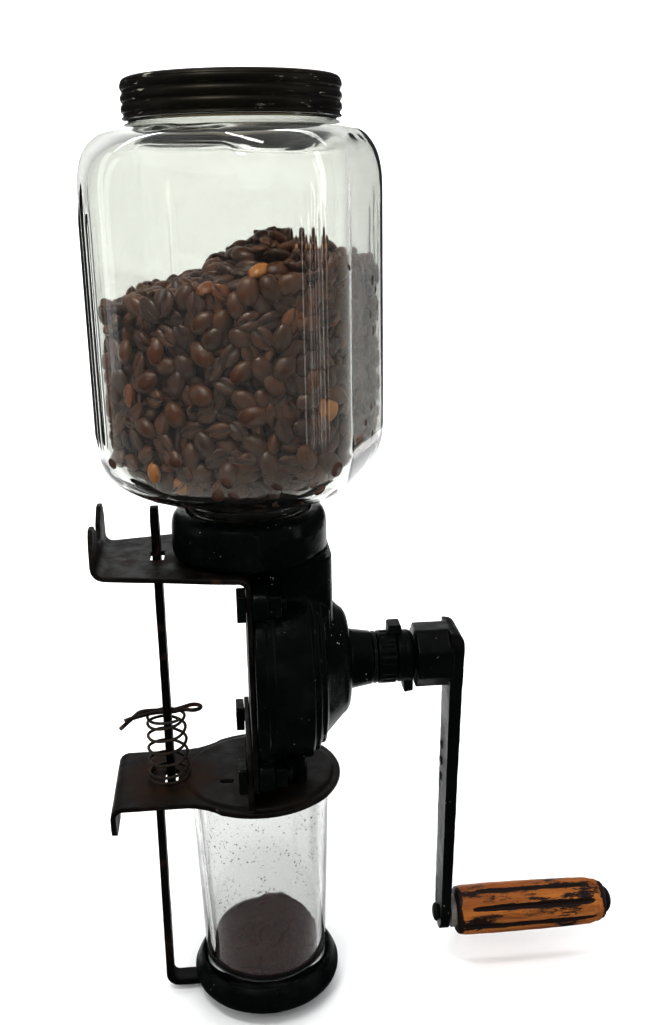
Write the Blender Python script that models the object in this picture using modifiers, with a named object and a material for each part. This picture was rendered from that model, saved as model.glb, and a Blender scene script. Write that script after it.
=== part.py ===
"""Wall-mounted crank coffee mill: a square glass hopper over a cast-iron burr mill on two sheet brackets,
with a sprung strap that clamps a tapered glass cup under the mill.

Mill coordinates, in millimetres: X = 0 and Y = 0 on the vertical axis of the jar and the cup, Z = 0 on the underside
of the cup cover. The world origin is the upper wall fixing face, so W() shifts every point by WALL_X and DATUM_Z.
"""

import bpy
import bmesh
import math
from mathutils import Matrix, Vector

MM = 0.001

# ---- driving dimensions, mm ----
WALL_X = 71.0          # wall face to the jar axis
DATUM_Z = 121.0        # upper fixing point above the cup cover's underside
CLEAR = 0.3            # gap left between pieces that touch

SHEET = 2.2            # upper bracket sheet
SHELF_TOP = 115.5
SHELF_HALF_WALL = 25.5
SHELF_HALF_MILL = 38.5
PLATE_LEFT = -4.2      # wall side of the vertical back plate
PLATE_BOTTOM = 8.5
EAR_TOP = 135.5

COVER_T = 2.4          # lower bracket plate
COVER_R = 39.4
TONGUE_HALF = 26.5
LOWER_EAR_BOTTOM = -14.6
FLANGE_TOP = 27.5

AXIS_X = -1.0          # common vertical axis of the lid, jar, collar, cover, cup and tray
SHAFT_Z = 59.3
BOLT_Y = 31.0
BOLT_DZ = 41.8
LUG_R = 8.0
FLANGE_R = 47.8
CAVITY_R = 40.0
BURR_R = 35.6
FEED_R = 21.5
NECK_END = 54.5

COLLAR_R = 35.2
COLLAR_TOP = 137.2
SOCKET_R = 28.3
SEAT_Z = 124.2

JAR_HALF = 63.6        # silhouette half-width of the turned square
JAR_CORNER = 23.5      # corner arc centres, from the axis to each side
JAR_TURN = 22.0        # degrees the square is turned clockwise about its axis, seen from above
JAR_TOP = 314.6
JAR_NECK_BOTTOM = 124.5
JAR_WALL = 3.4
LID_R = 45.2
LID_TOP = 318.5
LID_BOTTOM = 302.6

STRAP_T = 3.7
STRAP_W = 9.0
STRAP_X = -43.5
STRAP_LOW_X = -49.9
STRAP_TOP = 139.0
ARM_Z = -113.2         # middle of the strap's bottom arm
PIN_Z = 37.4

CUP_TOP = -0.4
CUP_BASE = -107.6
CUP_R_TOP = 33.9
CUP_R_BASE = 29.6
TRAY_R = 36.5
TRAY_FLOOR_TOP = -107.9
TRAY_FLOOR_T = 3.1

GRIP_Z = -86.0
GRIP_LEFT = 97.3
GRIP_RIGHT = 175.4


def W(x, y, z):
    return Vector(((x + WALL_X) * MM, y * MM, (z - DATUM_Z) * MM))


# ---- scene and collections ----
for old in list(bpy.data.objects):
    bpy.data.objects.remove(old, do_unlink=True)
MILL = bpy.data.collections.new("wall_coffee_mill")
TOOLS = bpy.data.collections.new("cutters")
bpy.context.scene.collection.children.link(MILL)
bpy.context.scene.collection.children.link(TOOLS)


def paint(obj, colour, rough, metal=0.0, alpha=1.0):
    mat = bpy.data.materials.new(obj.name + "_finish")
    mat.use_nodes = True
    shader = mat.node_tree.nodes["Principled BSDF"]
    shader.inputs["Base Color"].default_value = (*colour, 1.0)
    shader.inputs["Roughness"].default_value = rough
    shader.inputs["Metallic"].default_value = metal
    shader.inputs["Alpha"].default_value = alpha
    mat.diffuse_color = (*colour, alpha)
    obj.data.materials.clear()
    obj.data.materials.append(mat)
    return obj


IRON = ((0.012, 0.020, 0.019), 0.32, 0.2)
STEEL = ((0.045, 0.038, 0.030), 0.55, 0.7)
RAW = ((0.16, 0.13, 0.10), 0.5, 0.8)
RUST = ((0.10, 0.045, 0.025), 0.7, 0.5)
LIDM = ((0.075, 0.065, 0.045), 0.42, 0.8)
GLASS = ((0.80, 0.85, 0.80), 0.05, 0.0, 0.25)
BEAN = ((0.055, 0.022, 0.010), 0.45, 0.0)
WOOD = ((0.50, 0.22, 0.07), 0.6, 0.0)


def node(obj, look):
    for c in list(obj.users_collection):
        c.objects.unlink(obj)
    MILL.objects.link(obj)
    paint(obj, *look)
    return obj


def tool(obj):
    for c in list(obj.users_collection):
        c.objects.unlink(obj)
    TOOLS.objects.link(obj)
    obj.hide_render = True
    obj.display_type = "WIRE"
    return obj


def smooth(obj, degrees=35):
    obj.data.shade_smooth()
    obj.data.set_sharp_from_angle(angle=math.radians(degrees))
    return obj


def from_bm(name, bm, loc=(0, 0, 0)):
    bmesh.ops.recalc_face_normals(bm, faces=bm.faces)
    me = bpy.data.meshes.new(name)
    bm.to_mesh(me)
    bm.free()
    obj = bpy.data.objects.new(name, me)
    obj.location = W(*loc)
    bpy.context.scene.collection.objects.link(obj)
    return obj


ALONG_X = Matrix(((0, 0, 1), (0, 1, 0), (-1, 0, 0)))     # local Z becomes world X
PLANE_XZ = Matrix(((1, 0, 0), (0, 0, -1), (0, 1, 0)))    # local X, Y become world X, Z
PLANE_YZ = Matrix(((0, 0, 1), (1, 0, 0), (0, 1, 0)))     # local X, Y become world Y, Z


def place(obj, at, rot=None):
    m = Matrix.Identity(4) if rot is None else rot.to_4x4()
    m.translation = W(*at)
    obj.matrix_world = m
    return obj


def turned(name, profile, segs=48, axis="Z", at=(0, 0, 0)):
    """Profile of (radius, height) in mm down the outer side. It is closed unless both ends lie on the axis."""
    closed = not (profile[0][0] == 0 and profile[-1][0] == 0)
    me = bpy.data.meshes.new(name)
    verts = [(r * MM, 0, h * MM) for r, h in profile]
    edges = [(i, i + 1) for i in range(len(verts) - 1)]
    if closed:
        edges.append((len(verts) - 1, 0))
    me.from_pydata(verts, edges, [])
    obj = bpy.data.objects.new(name, me)
    bpy.context.scene.collection.objects.link(obj)
    place(obj, at, ALONG_X if axis == "X" else None)
    mod = obj.modifiers.new("turn", "SCREW")
    mod.angle = 2 * math.pi
    mod.steps = mod.render_steps = segs
    mod.axis = "Z"
    mod.use_merge_vertices = True
    mod.merge_threshold = 0.00001
    mod.use_smooth_shade = True
    return obj


def box(name, lo, hi):
    bm = bmesh.new()
    bmesh.ops.create_cube(bm, size=1.0)
    size = [(h - l) * MM for l, h in zip(lo, hi)]
    bmesh.ops.scale(bm, vec=size, verts=bm.verts)
    return from_bm(name, bm, [(l + h) / 2 for l, h in zip(lo, hi)])


def rod(name, r, a, b, segs=24, r2=None):
    """Cylinder or cone of radius r at a and r2 at b, in mm."""
    va, vb = Vector(a), Vector(b)
    d = vb - va
    bm = bmesh.new()
    bmesh.ops.create_cone(bm, cap_ends=True, segments=segs, radius1=r * MM, radius2=(r if r2 is None else r2) * MM, depth=d.length * MM)
    bmesh.ops.transform(bm, matrix=Vector((0, 0, 1)).rotation_difference(d).to_matrix().to_4x4(), verts=bm.verts)
    return from_bm(name, bm, (va + vb) / 2)


def realise(obj):
    """The object as a plain mesh with its caps welded."""
    bpy.context.view_layer.update()
    graph = bpy.context.evaluated_depsgraph_get()
    me = bpy.data.meshes.new_from_object(obj.evaluated_get(graph))
    bm = bmesh.new()
    bm.from_mesh(me)
    bmesh.ops.remove_doubles(bm, verts=bm.verts, dist=1e-6)
    bmesh.ops.recalc_face_normals(bm, faces=bm.faces)
    bm.to_mesh(me)
    bm.free()
    name, world = obj.name, obj.matrix_world.copy()
    bpy.data.objects.remove(obj, do_unlink=True)
    new = bpy.data.objects.new(name, me)
    bpy.context.scene.collection.objects.link(new)
    new.matrix_world = world
    return new


def slab(name, outlines, thick, rot=None, at=(0, 0, 0)):
    """A flat outline, with any holes after it, thickened by half each way about its plane."""
    cu = bpy.data.curves.new(name, "CURVE")
    cu.dimensions = "2D"
    cu.fill_mode = "BOTH"
    cu.extrude = thick / 2 * MM
    for pts in outlines:
        sp = cu.splines.new("POLY")
        sp.points.add(len(pts) - 1)
        for p, (u, v) in zip(sp.points, pts):
            p.co = (u * MM, v * MM, 0, 1)
        sp.use_cyclic_u = True
    obj = bpy.data.objects.new(name, cu)
    bpy.context.scene.collection.objects.link(obj)
    place(obj, at, rot)
    return realise(obj)


def bend(obj, other, how):
    mod = obj.modifiers.new(how.lower() + "_" + other.name, "BOOLEAN")
    mod.operation = how
    mod.solver = "EXACT"
    mod.object = tool(other)
    return obj


def cut(obj, *cutters):
    for c in cutters:
        bend(obj, c, "DIFFERENCE")
    return obj


def join(obj, *others):
    for c in others:
        bend(obj, c, "UNION")
    return obj


def rounded(points, radii, n=4):
    """Points of an open or closed path whose corners are rounded: radii[i] belongs to points[i], 0 keeps it sharp."""
    out = []
    count = len(points)
    for i, p in enumerate(points):
        r = radii[i]
        if r == 0:
            out.append(Vector(p))
            continue
        p = Vector(p)
        a = (Vector(points[i - 1]) - p).normalized()
        b = (Vector(points[(i + 1) % count]) - p).normalized()
        half = a.angle(b) / 2
        reach = r / math.tan(half)
        centre = p + (a + b).normalized() * (r / math.sin(half))
        start, end = p + a * reach - centre, p + b * reach - centre
        turn = start.angle_signed(end)
        for k in range(n + 1):
            t = -turn * k / n
            out.append(centre + Vector((start.x * math.cos(t) - start.y * math.sin(t), start.x * math.sin(t) + start.y * math.cos(t))))
    return out


def strip(points, radii, thick, n=4):
    """Closed outline of a bent strip: the path's middle line and half the thickness each way."""
    mid = rounded(points, radii, n)
    left, right = [], []
    for i, p in enumerate(mid):
        a = mid[max(i - 1, 0)]
        b = mid[min(i + 1, len(mid) - 1)]
        if 0 < i < len(mid) - 1:
            u, v = (p - a).normalized(), (b - p).normalized()
            nrm = (Vector((-u.y, u.x)) + Vector((-v.y, v.x))).normalized()
            nrm /= max(0.5, nrm.dot(Vector((-u.y, u.x))))
        else:
            u = (b - a).normalized()
            nrm = Vector((-u.y, u.x))
        left.append(p + nrm * thick / 2)
        right.append(p - nrm * thick / 2)
    return [tuple(q) for q in left + right[::-1]]


def arc(cx, cy, r, a0, a1, n):
    return [(cx + r * math.cos(math.radians(a0 + (a1 - a0) * k / n)), cy + r * math.sin(math.radians(a0 + (a1 - a0) * k / n))) for k in range(n + 1)]


def rings_to_mesh(name, rings, close_ends=False, loop=False, at=(0, 0, 0)):
    """A loft through rings of equal count. loop joins the last ring to the first, close_ends fills both ends."""
    bm = bmesh.new()
    vs = [[bm.verts.new(Vector(p) * MM) for p in ring] for ring in rings]
    n = len(rings[0])
    pairs = list(zip(vs, vs[1:])) + ([(vs[-1], vs[0])] if loop else [])
    for a, b in pairs:
        for i in range(n):
            bm.faces.new((a[i], a[(i + 1) % n], b[(i + 1) % n], b[i]))
    if close_ends:
        for ring, sign in ((vs[0], -1), (vs[-1], 1)):
            centre = bm.verts.new(sum((v.co for v in ring), Vector()) / n)
            for i in range(n):
                bm.faces.new((ring[i], ring[(i + 1) % n], centre))
    return from_bm(name, bm, at)


# =====================================================================================================
# Brackets
# =====================================================================================================
mid_ear = -WALL_X + SHEET / 2
mid_plate = PLATE_LEFT + SHEET / 2
mid_shelf = SHELF_TOP - SHEET / 2
path = [(mid_ear, EAR_TOP), (mid_ear, mid_shelf), (mid_plate, mid_shelf), (mid_plate, PLATE_BOTTOM)]
upper = slab("upper_bracket", [strip(path, [0, 4.6, 4.6, 0], SHEET)], 2 * SHELF_HALF_MILL, PLANE_XZ)
for side in (-1, 1):
    edge = [(-80, side * SHELF_HALF_WALL), (-WALL_X, side * SHELF_HALF_WALL), (-9.5, side * (SHELF_HALF_MILL + 0.05)), (-9.5, side * 50), (-80, side * 50)]
    cut(upper, slab("taper_cut", [edge if side > 0 else edge[::-1]], 50, None, (0, 0, 125)))
    corner = [(side * 21, 140), (side * 21, EAR_TOP + 0.2), (side * 23.6, 133.4), (side * (SHELF_HALF_WALL - 0.2), 129.5), (side * (SHELF_HALF_WALL + 3), 126), (side * (SHELF_HALF_WALL + 3), 140)]
    cut(upper, slab("ear_corner_cut", [corner if side < 0 else corner[::-1]], 12, PLANE_YZ, (-70, 0, 0)))
notch = [(-15.5, 140), (-15.5, 135.6), (-13.2, 134.2), (-7.0, 130.0)] + arc(0, 130.6, 7.0, 185, 355, 8) + [(7.0, 130.0), (13.2, 134.2), (15.5, 135.6), (15.5, 140)]
cut(upper, slab("ear_notch_cut", [notch], 12, PLANE_YZ, (-70, 0, 0)))
cut(upper, box("shelf_slot_cut", (-46.6, -5.8, 105), (-40.2, 5.8, 125)))
bottom_corner = rounded([(-60, -10), (-60, 40), (-SHELF_HALF_MILL, 40), (-SHELF_HALF_MILL, PLATE_BOTTOM), (SHELF_HALF_MILL, PLATE_BOTTOM), (SHELF_HALF_MILL, 40), (60, 40), (60, -10)],
                        [0, 0, 0, 9, 9, 0, 0, 0])
cut(upper, slab("plate_corner_cut", [[tuple(p) for p in bottom_corner]], 8, PLANE_YZ, (-3, 0, 0)))
for y in (-BOLT_Y, BOLT_Y):
    for dz in (-BOLT_DZ, BOLT_DZ):
        cut(upper, rod("bolt_hole_cut", 3.5, (-12, y, SHAFT_Z + dz), (6, y, SHAFT_Z + dz), 12))
node(upper, STEEL)

# lower bracket: tongue widening into the round cup cover, an ear bent down at the wall, and a flange up the back
theta0 = math.degrees(math.atan2(-34.5, -math.sqrt(COVER_R ** 2 - 34.5 ** 2)))
side_in = [(-63.5, -TONGUE_HALF), (-36.0, -TONGUE_HALF), (-31.0, -27.3), (-26.0, -29.6), (-22.0, -32.2)]
outline = side_in + arc(AXIS_X, 0, COVER_R, theta0, -theta0, 44) + [(x, -y) for x, y in side_in[::-1]]
lower = slab("lower_bracket", [outline], COVER_T, None, (0, 0, COVER_T / 2))
ear = strip([(-WALL_X + COVER_T / 2, LOWER_EAR_BOTTOM), (-WALL_X + COVER_T / 2, COVER_T / 2), (-60, COVER_T / 2)], [0, 4.4, 0], COVER_T)
ear_slab = slab("lower_ear", [ear], 2 * TONGUE_HALF, PLANE_XZ)
lower_notch = [(-6.0, -18), (-6.0, -14.4), (-3.4, -12.4)] + arc(0, -11.4, 3.4, 180, 0, 8) + [(3.4, -12.4), (6.0, -14.4), (6.0, -18)]
join(lower, ear_slab)
cut(lower, slab("lower_ear_notch_cut", [lower_notch[::-1]], 12, PLANE_YZ, (-70, 0, 0)))
for side in (-1, 1):
    corner = [(side * 21.5, -20), (side * 21.5, -14.7), (side * 24.6, -12.6), (side * (TONGUE_HALF + 0.1), -9.0), (side * (TONGUE_HALF + 3), -8.6), (side * (TONGUE_HALF + 3), -20)]
    cut(lower, slab("lower_ear_corner_cut", [corner[::-1] if side < 0 else corner], 12, PLANE_YZ, (-70, 0, 0)))
plateau = turned("cover_plateau", [(0, 3.3), (34.6, 3.3), (35.8, 2.9), (36.4, 1.2), (0, 1.2)], 44, "Z", (AXIS_X, 0, 0))
join(lower, plateau)
fl = rounded([(-37, 1.0), (37, 1.0), (37, FLANGE_TOP), (-37, FLANGE_TOP)], [0, 0, 8, 8])
join(lower, slab("rear_flange", [[tuple(p) for p in fl]], 2.2, PLANE_YZ, (PLATE_LEFT - CLEAR - 1.1, 0, 0)))
for y in (-BOLT_Y, BOLT_Y):
    cut(lower, rod("flange_hole_cut", 3.5, (-12, y, SHAFT_Z - BOLT_DZ), (6, y, SHAFT_Z - BOLT_DZ), 12))
cut(lower, box("tongue_slot_cut", (-46.6, -5.8, -6), (-40.2, 5.8, 8)))
spare = arc(-18.2, -9.6, 1.6, 90, 270, 6) + arc(-15.0, -9.6, 1.6, -90, 90, 6)
cut(lower, slab("spare_hole_cut", [spare], 20, None, (0, 0, 2)))
cut(lower, box("coffee_window_cut", (0.5, -13.5, -6), (17.5, 13.5, 8)))
node(lower, STEEL)

# =====================================================================================================
# Mill housing: collar, throat, burr chamber, bearing neck and chute in one casting
# =====================================================================================================
LEFT = PLATE_LEFT + SHEET + CLEAR      # joint face of the casting
housing = turned("mill_housing", [
    (0, NECK_END), (12.4, NECK_END), (14.2, 44.6), (15.2, 43.2), (20.8, 43.0), (23.4, 42.0), (25.8, 39.8),
    (34.8, 30.9), (38.0, 30.3), (38.5, 29.6), (38.4, 27.8), (41.2, 27.3), (41.6, 26.5), (41.5, 24.8), (44.2, 24.2), (44.8, 23.2),
    (45.2, 12.0), (45.4, 5.6), (46.4, 4.7), (FLANGE_R, 3.6), (FLANGE_R, LEFT), (0, LEFT),
], 40, "X", (0, 0, SHAFT_Z))
collar = turned("collar", [(0, COLLAR_TOP), (30.4, COLLAR_TOP), (32.4, COLLAR_TOP - 0.7), (34.2, COLLAR_TOP - 2.6), (35.0, COLLAR_TOP - 5.2), (COLLAR_R, COLLAR_TOP - 7.5),
                           (COLLAR_R, 118.6), (34.4, 117.0), (32.5, SHELF_TOP + CLEAR), (0, SHELF_TOP + CLEAR)], 40, "Z", (AXIS_X, 0, 0))
throat_plan = rounded([(LEFT, -22.5), (35.2, -20.5), (35.2, 20.5), (LEFT, 22.5)], [0, 8, 8, 0], 4)
throat = slab("throat", [[tuple(p) for p in throat_plan]], 41.0, None, (0, 0, 96.5))
chute_plan = rounded([(LEFT, -18), (21.5, -17), (21.5, 17), (LEFT, 18)], [0, 5, 5, 0], 3)
chute = slab("chute", [[tuple(p) for p in chute_plan]], 26.0, None, (0, 0, 3.3 + CLEAR + 13.0))
join(housing, collar, throat, chute)
for y in (-BOLT_Y, BOLT_Y):
    for dz in (-BOLT_DZ, BOLT_DZ):
        z = SHAFT_Z + dz
        lug = rod("lug", LUG_R, (LEFT, y, z), (5.4, y, z), 18)
        join(housing, lug)
# small raised parting seam under the front of the collar
join(housing, box("casting_seam", (0.6, -35.7, 119.0), (2.0, -33.5, 133.0)))
cut(housing, rod("socket_cut", SOCKET_R, (AXIS_X, 0, SEAT_Z), (AXIS_X, 0, COLLAR_TOP + 3), 36))
upper_way = rounded([(1.9, -18.5), (31.6, -17), (31.6, 17), (1.9, 18.5)], [4, 5, 5, 4], 3)
cut(housing, slab("upper_throat_cut", [[tuple(p) for p in upper_way]], 24.0, None, (0, 0, 112.5)))
cut(housing, rod("hopper_mouth_cut", 22.0, (AXIS_X, 0, 119.5), (AXIS_X, 0, SEAT_Z + 1), 32))
lower_way = rounded([(14.8, -17.2), (31.2, -17), (31.2, 17), (14.8, 17.2)], [3, 5, 5, 3], 3)
cut(housing, slab("lower_throat_cut", [[tuple(p) for p in lower_way]], 44.0, None, (0, 0, 81.0)))
cut(housing, turned("chamber_cut", [
    (0, 33.6), (FEED_R - 3, 33.6), (FEED_R, 30.5), (FEED_R, 14.6), (17.6, 14.2), (17.6, 13.5), (36.2, 13.5), (36.2, 8.4), (CAVITY_R, 8.4), (CAVITY_R, LEFT - 2), (0, LEFT - 2)
], 36, "X", (0, 0, SHAFT_Z)))
cut(housing, rod("neck_bore_cut", 8.3, (30, 0, SHAFT_Z), (NECK_END + 2, 0, SHAFT_Z), 24))
cut(housing, box("chute_way_cut", (0.5, -13.5, -2), (17.5, 13.5, 24)))
for y in (-BOLT_Y, BOLT_Y):
    for dz in (-BOLT_DZ, BOLT_DZ):
        cut(housing, rod("lug_hole_cut", 3.5, (-8, y, SHAFT_Z + dz), (12, y, SHAFT_Z + dz), 12))
for a in (0, 180):
    y, z = 27.0 * math.cos(math.radians(a)), SHAFT_Z + 27.0 * math.sin(math.radians(a))
    cut(housing, rod("burr_screw_cut", 2.0, (12, y, z), (23, y, z), 14))
node(housing, IRON)

# =====================================================================================================
# Burrs, spindle and feed worm
# =====================================================================================================


def radial_teeth(name, x0, x1, r0, r1, count, width, twist):
    """Straight grooves set off the radius, as one cutter of separate bars."""
    bm = bmesh.new()
    for k in range(count):
        made = bmesh.ops.create_cube(bm, size=1.0)["verts"]
        bmesh.ops.scale(bm, vec=((x1 - x0) * MM, (r1 - r0) * MM, width * MM), verts=made)
        bmesh.ops.translate(bm, vec=((x0 + x1) / 2 * MM, (r0 + r1) / 2 * MM, 0), verts=made)
        m = Matrix.Rotation(2 * math.pi * k / count, 4, "X") @ Matrix.Translation((0, 0, 0)) @ Matrix.Rotation(math.radians(twist), 4, "X")
        bmesh.ops.transform(bm, matrix=m, verts=made)
    return from_bm(name, bm, (0, 0, SHAFT_Z))


fixed = turned("fixed_burr", [(BURR_R, 13.2), (BURR_R, 8.9), (35.0, 8.6), (20.0, 8.6), (17.8, 10.8), (17.8, 13.2)], 32, "X", (0, 0, SHAFT_Z))
cut(fixed, radial_teeth("fixed_burr_grooves", 8.0, 9.7, 22.0, 40.0, 12, 2.0, 0))
for a in (0, 180):
    y, z = 27.0 * math.cos(math.radians(a)), SHAFT_Z + 27.0 * math.sin(math.radians(a))
    cut(fixed, rod("burr_screw_hole_cut", 2.0, (7, y, z), (15, y, z), 14), rod("burr_screw_sink_cut", 4.0, (8.0, y, z), (11.0, y, z), 14))
    side = "front" if a else "back"
    screw = turned("burr_screw_" + side, [(0, 21.5), (1.5, 21.5), (1.7, 21.0), (1.7, 10.6), (3.6, 10.4), (3.6, 9.8), (0, 9.8)], 14, "X", (0, y, z))
    node(screw, RAW)
node(fixed, RAW)

rotor = turned("rotating_burr", [(34.4, 7.4), (34.4, 3.0), (33.8, 2.4), (12.0, 2.4), (12.0, 1.6), (6.2, 1.6), (6.2, 8.0), (33.8, 8.0)], 32, "X", (0, 0, SHAFT_Z))
cut(rotor, radial_teeth("rotating_burr_grooves", 6.9, 9.0, 19.0, 40.0, 12, 2.0, 15))
node(rotor, RAW)

spindle = turned("spindle", [(0, 94.0), (4.6, 94.0), (5.0, 93.4), (5.0, 74.8), (5.8, 74.5), (5.8, 0.2), (8.6, 0.2), (8.6, -1.2), (8.0, -1.6), (0, -1.6)], 24, "X", (0, 0, SHAFT_Z))
node(spindle, RAW)


def worm_ring(x, bore=False):
    if bore:
        return [(x, 6.15 * math.cos(2 * math.pi * k / 24), 6.15 * math.sin(2 * math.pi * k / 24)) for k in range(24)]
    out = []
    for k in range(24):
        t = 2 * math.pi * k / 24
        crest = max(0.0, math.cos(t - 2 * math.pi * (x - 14.0) / 17.0)) ** 2.2
        r = 8.4 + 7.6 * crest
        out.append((x, r * math.cos(t), r * math.sin(t)))
    return out


xs = [9.0 + 21.0 * k / 14 for k in range(15)]
worm = rings_to_mesh("feed_worm", [worm_ring(x) for x in xs] + [worm_ring(x, True) for x in xs[::-7]], loop=True, at=(0, 0, SHAFT_Z))
node(smooth(worm, 50), RAW)

sleeve = turned("bearing_sleeve", [(8.0, 54.2), (8.0, 34.0), (6.1, 34.0), (6.1, 54.2)], 28, "X", (0, 0, SHAFT_Z))
node(sleeve, ((0.35, 0.22, 0.08), 0.4, 0.9))
washer = turned("thrust_washer", [(12.4, 56.3), (12.4, 54.8), (6.1, 54.8), (6.1, 56.3)], 32, "X", (0, 0, SHAFT_Z))
node(washer, RAW)

# =====================================================================================================
# Adjusting nut and lock nut
# =====================================================================================================
knurl = []
for k in range(22):
    for f, r in ((0.0, 12.6), (0.5, 12.6), (0.75, 11.8)):
        t = 2 * math.pi * (k + f) / 22
        knurl.append((r * math.cos(t), r * math.sin(t)))
bore = [(6.1 * math.cos(2 * math.pi * k / 24), 6.1 * math.sin(2 * math.pi * k / 24)) for k in range(24)]
nut = slab("adjusting_nut", [knurl, bore[::-1]], 8.9, PLANE_YZ, (61.15, 0, SHAFT_Z))
join(nut, box("adjusting_lug_foot", (62.0, -4.2, SHAFT_Z + 10.0), (65.5, 4.2, SHAFT_Z + 14.0)))
lug_side = rounded([(62.0, SHAFT_Z + 12.8), (69.0, SHAFT_Z + 12.8), (68.0, SHAFT_Z + 17.2), (62.0, SHAFT_Z + 17.2)], [0, 0, 1.6, 0.6], 3)
join(nut, slab("adjusting_lug", [[tuple(p) for p in lug_side]], 8.4, PLANE_XZ))
node(nut, IRON)

lock = turned("lock_nut", [(10.6, 74.4), (12.2, 72.6), (12.4, 71.8), (12.4, 66.6), (11.8, 66.0), (6.1, 66.0), (6.1, 74.4)], 32, "X", (0, 0, SHAFT_Z))
lock_side = rounded([(69.4, SHAFT_Z - 10.0), (69.6, SHAFT_Z - 17.4), (74.2, SHAFT_Z - 17.0), (74.2, SHAFT_Z - 10.0)], [0, 0.6, 1.6, 0], 3)
join(lock, slab("lock_lug", [[tuple(p) for p in lock_side]], 8.4, PLANE_XZ))
node(lock, IRON)

# =====================================================================================================
# Crank: eight-sided hub, flat arm, set screw, and the wooden grip on its pin
# =====================================================================================================
HUB_AF = 14.4
octagon = [(HUB_AF / math.cos(math.pi / 8) * math.cos(math.pi / 8 + math.pi / 4 * k), HUB_AF / math.cos(math.pi / 8) * math.sin(math.pi / 8 + math.pi / 4 * k)) for k in range(8)]
crank = slab("crank_arm", [[tuple(p) for p in rounded(octagon, [3.0] * 8, 3)]], 17.0, PLANE_YZ, (83.5, 0, SHAFT_Z))
arm_side = [(90.6, SHAFT_Z + 14.3)] + [tuple(p) for p in rounded([(90.7, SHAFT_Z + 14.3), (97.3, SHAFT_Z + 14.3), (97.3, SHAFT_Z)], [0, 5.4, 0], 4)][1:-1] + \
    [(97.2, SHAFT_Z - 8), (92.9, GRIP_Z - 8.2), (88.1, GRIP_Z - 8.2), (90.9, SHAFT_Z - 14)]
arm = slab("arm_bar", [arm_side], 40, PLANE_XZ)
arm_front = [(-11.6, SHAFT_Z + 14.3), (-12.6, SHAFT_Z + 6)] + [(-9.6, SHAFT_Z - 16), (-8.4, GRIP_Z + 6)] + arc(0, GRIP_Z, 8.2, 195, 345, 10) + [(8.4, GRIP_Z + 6), (9.6, SHAFT_Z - 16), (12.6, SHAFT_Z + 6), (11.6, SHAFT_Z + 14.3)]
frame_outline = [(-30, -120), (30, -120), (30, 100), (-30, 100)]
cut(arm, slab("arm_sides_cut", [frame_outline, arm_front[::-1]], 30, PLANE_YZ, (92, 0, 0)))
join(crank, arm)
for z in (8.0, -0.8, -9.6):
    # round casting pips down the wall side of the arm
    xl = 90.9 - 2.8 * (SHAFT_Z - 14 - z) / (SHAFT_Z - 14 - GRIP_Z + 8.2)
    join(crank, rod("casting_pip", 2.2, (xl - 0.7, 4.5, z), (xl + 1.2, 4.5, z), 12, 2.6))
cut(crank, rod("hub_bore_cut", 5.3, (70, 0, SHAFT_Z), (94.3, 0, SHAFT_Z), 24))
cut(crank, rod("set_screw_hole_cut", 2.9, (83, 4.0, SHAFT_Z), (83, 20, SHAFT_Z), 16))
cut(crank, rod("grip_pin_hole_cut", 3.5, (80, 0, GRIP_Z), (100, 0, GRIP_Z), 20))
node(crank, IRON)
set_screw = rod("crank_set_screw", 2.6, (83, 5.4, SHAFT_Z), (83, 13.9, SHAFT_Z), 16)
cut(set_screw, box("set_screw_slot_cut", (80, 12.9, SHAFT_Z - 0.5), (86, 15, SHAFT_Z + 0.5)))
node(set_screw, RAW)

pin = turned("grip_pin", [(0, 179.6), (2.6, 179.3), (5.0, 178.3), (6.4, 176.9), (6.8, 175.8), (3.2, 175.8), (3.2, 87.7), (4.6, 87.7), (4.6, 86.9), (3.6, 85.8), (0, 85.3)], 24, "X", (0, 0, GRIP_Z))
node(pin, IRON)
gw = turned("grip_washer", [(8.0, 97.0), (8.0, 94.0), (3.5, 94.0), (3.5, 97.0)], 28, "X", (0, 0, GRIP_Z))
node(gw, RAW)
grip = turned("wooden_grip", [(8.6, GRIP_RIGHT), (9.4, GRIP_RIGHT - 0.6), (11.9, 168.0), (12.2, 164.0), (12.6, 140.0), (12.7, 115.0), (12.4, 99.0), (11.8, GRIP_LEFT), (3.6, GRIP_LEFT), (3.6, GRIP_RIGHT)], 24, "X", (0, 0, GRIP_Z))
node(grip, WOOD)

# =====================================================================================================
# Bolts and nuts that clamp the brackets to the casting
# =====================================================================================================
for y, near in ((-BOLT_Y, "front"), (BOLT_Y, "rear")):
    for dz, level in ((BOLT_DZ, "upper"), (-BOLT_DZ, "lower")):
        z = SHAFT_Z + dz
        seat = PLATE_LEFT - CLEAR if level == "upper" else PLATE_LEFT - CLEAR - 2.2 - CLEAR
        bolt = rod(f"bolt_{level}_{near}", 3.1, (seat - 1.0, y, z), (13.4, y, z), 16)
        head = slab("bolt_head", [[tuple(p) for p in rounded([(-6.2, -6.2), (6.2, -6.2), (6.2, 6.2), (-6.2, 6.2)], [1.0] * 4, 2)]], 4.0, PLANE_YZ, (seat - 2.0, y, z))
        node(join(bolt, head), IRON)
        nt = slab(f"nut_{level}_{near}", [[tuple(p) for p in rounded([(-4.9, -4.9), (4.9, -4.9), (4.9, 4.9), (-4.9, 4.9)], [1.2] * 4, 2)], arc(0, 0, 3.4, 360, 20, 17)], 5.2, PLANE_YZ, (5.4 + CLEAR + 2.6, y, z))
        node(nt, IRON)

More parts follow.
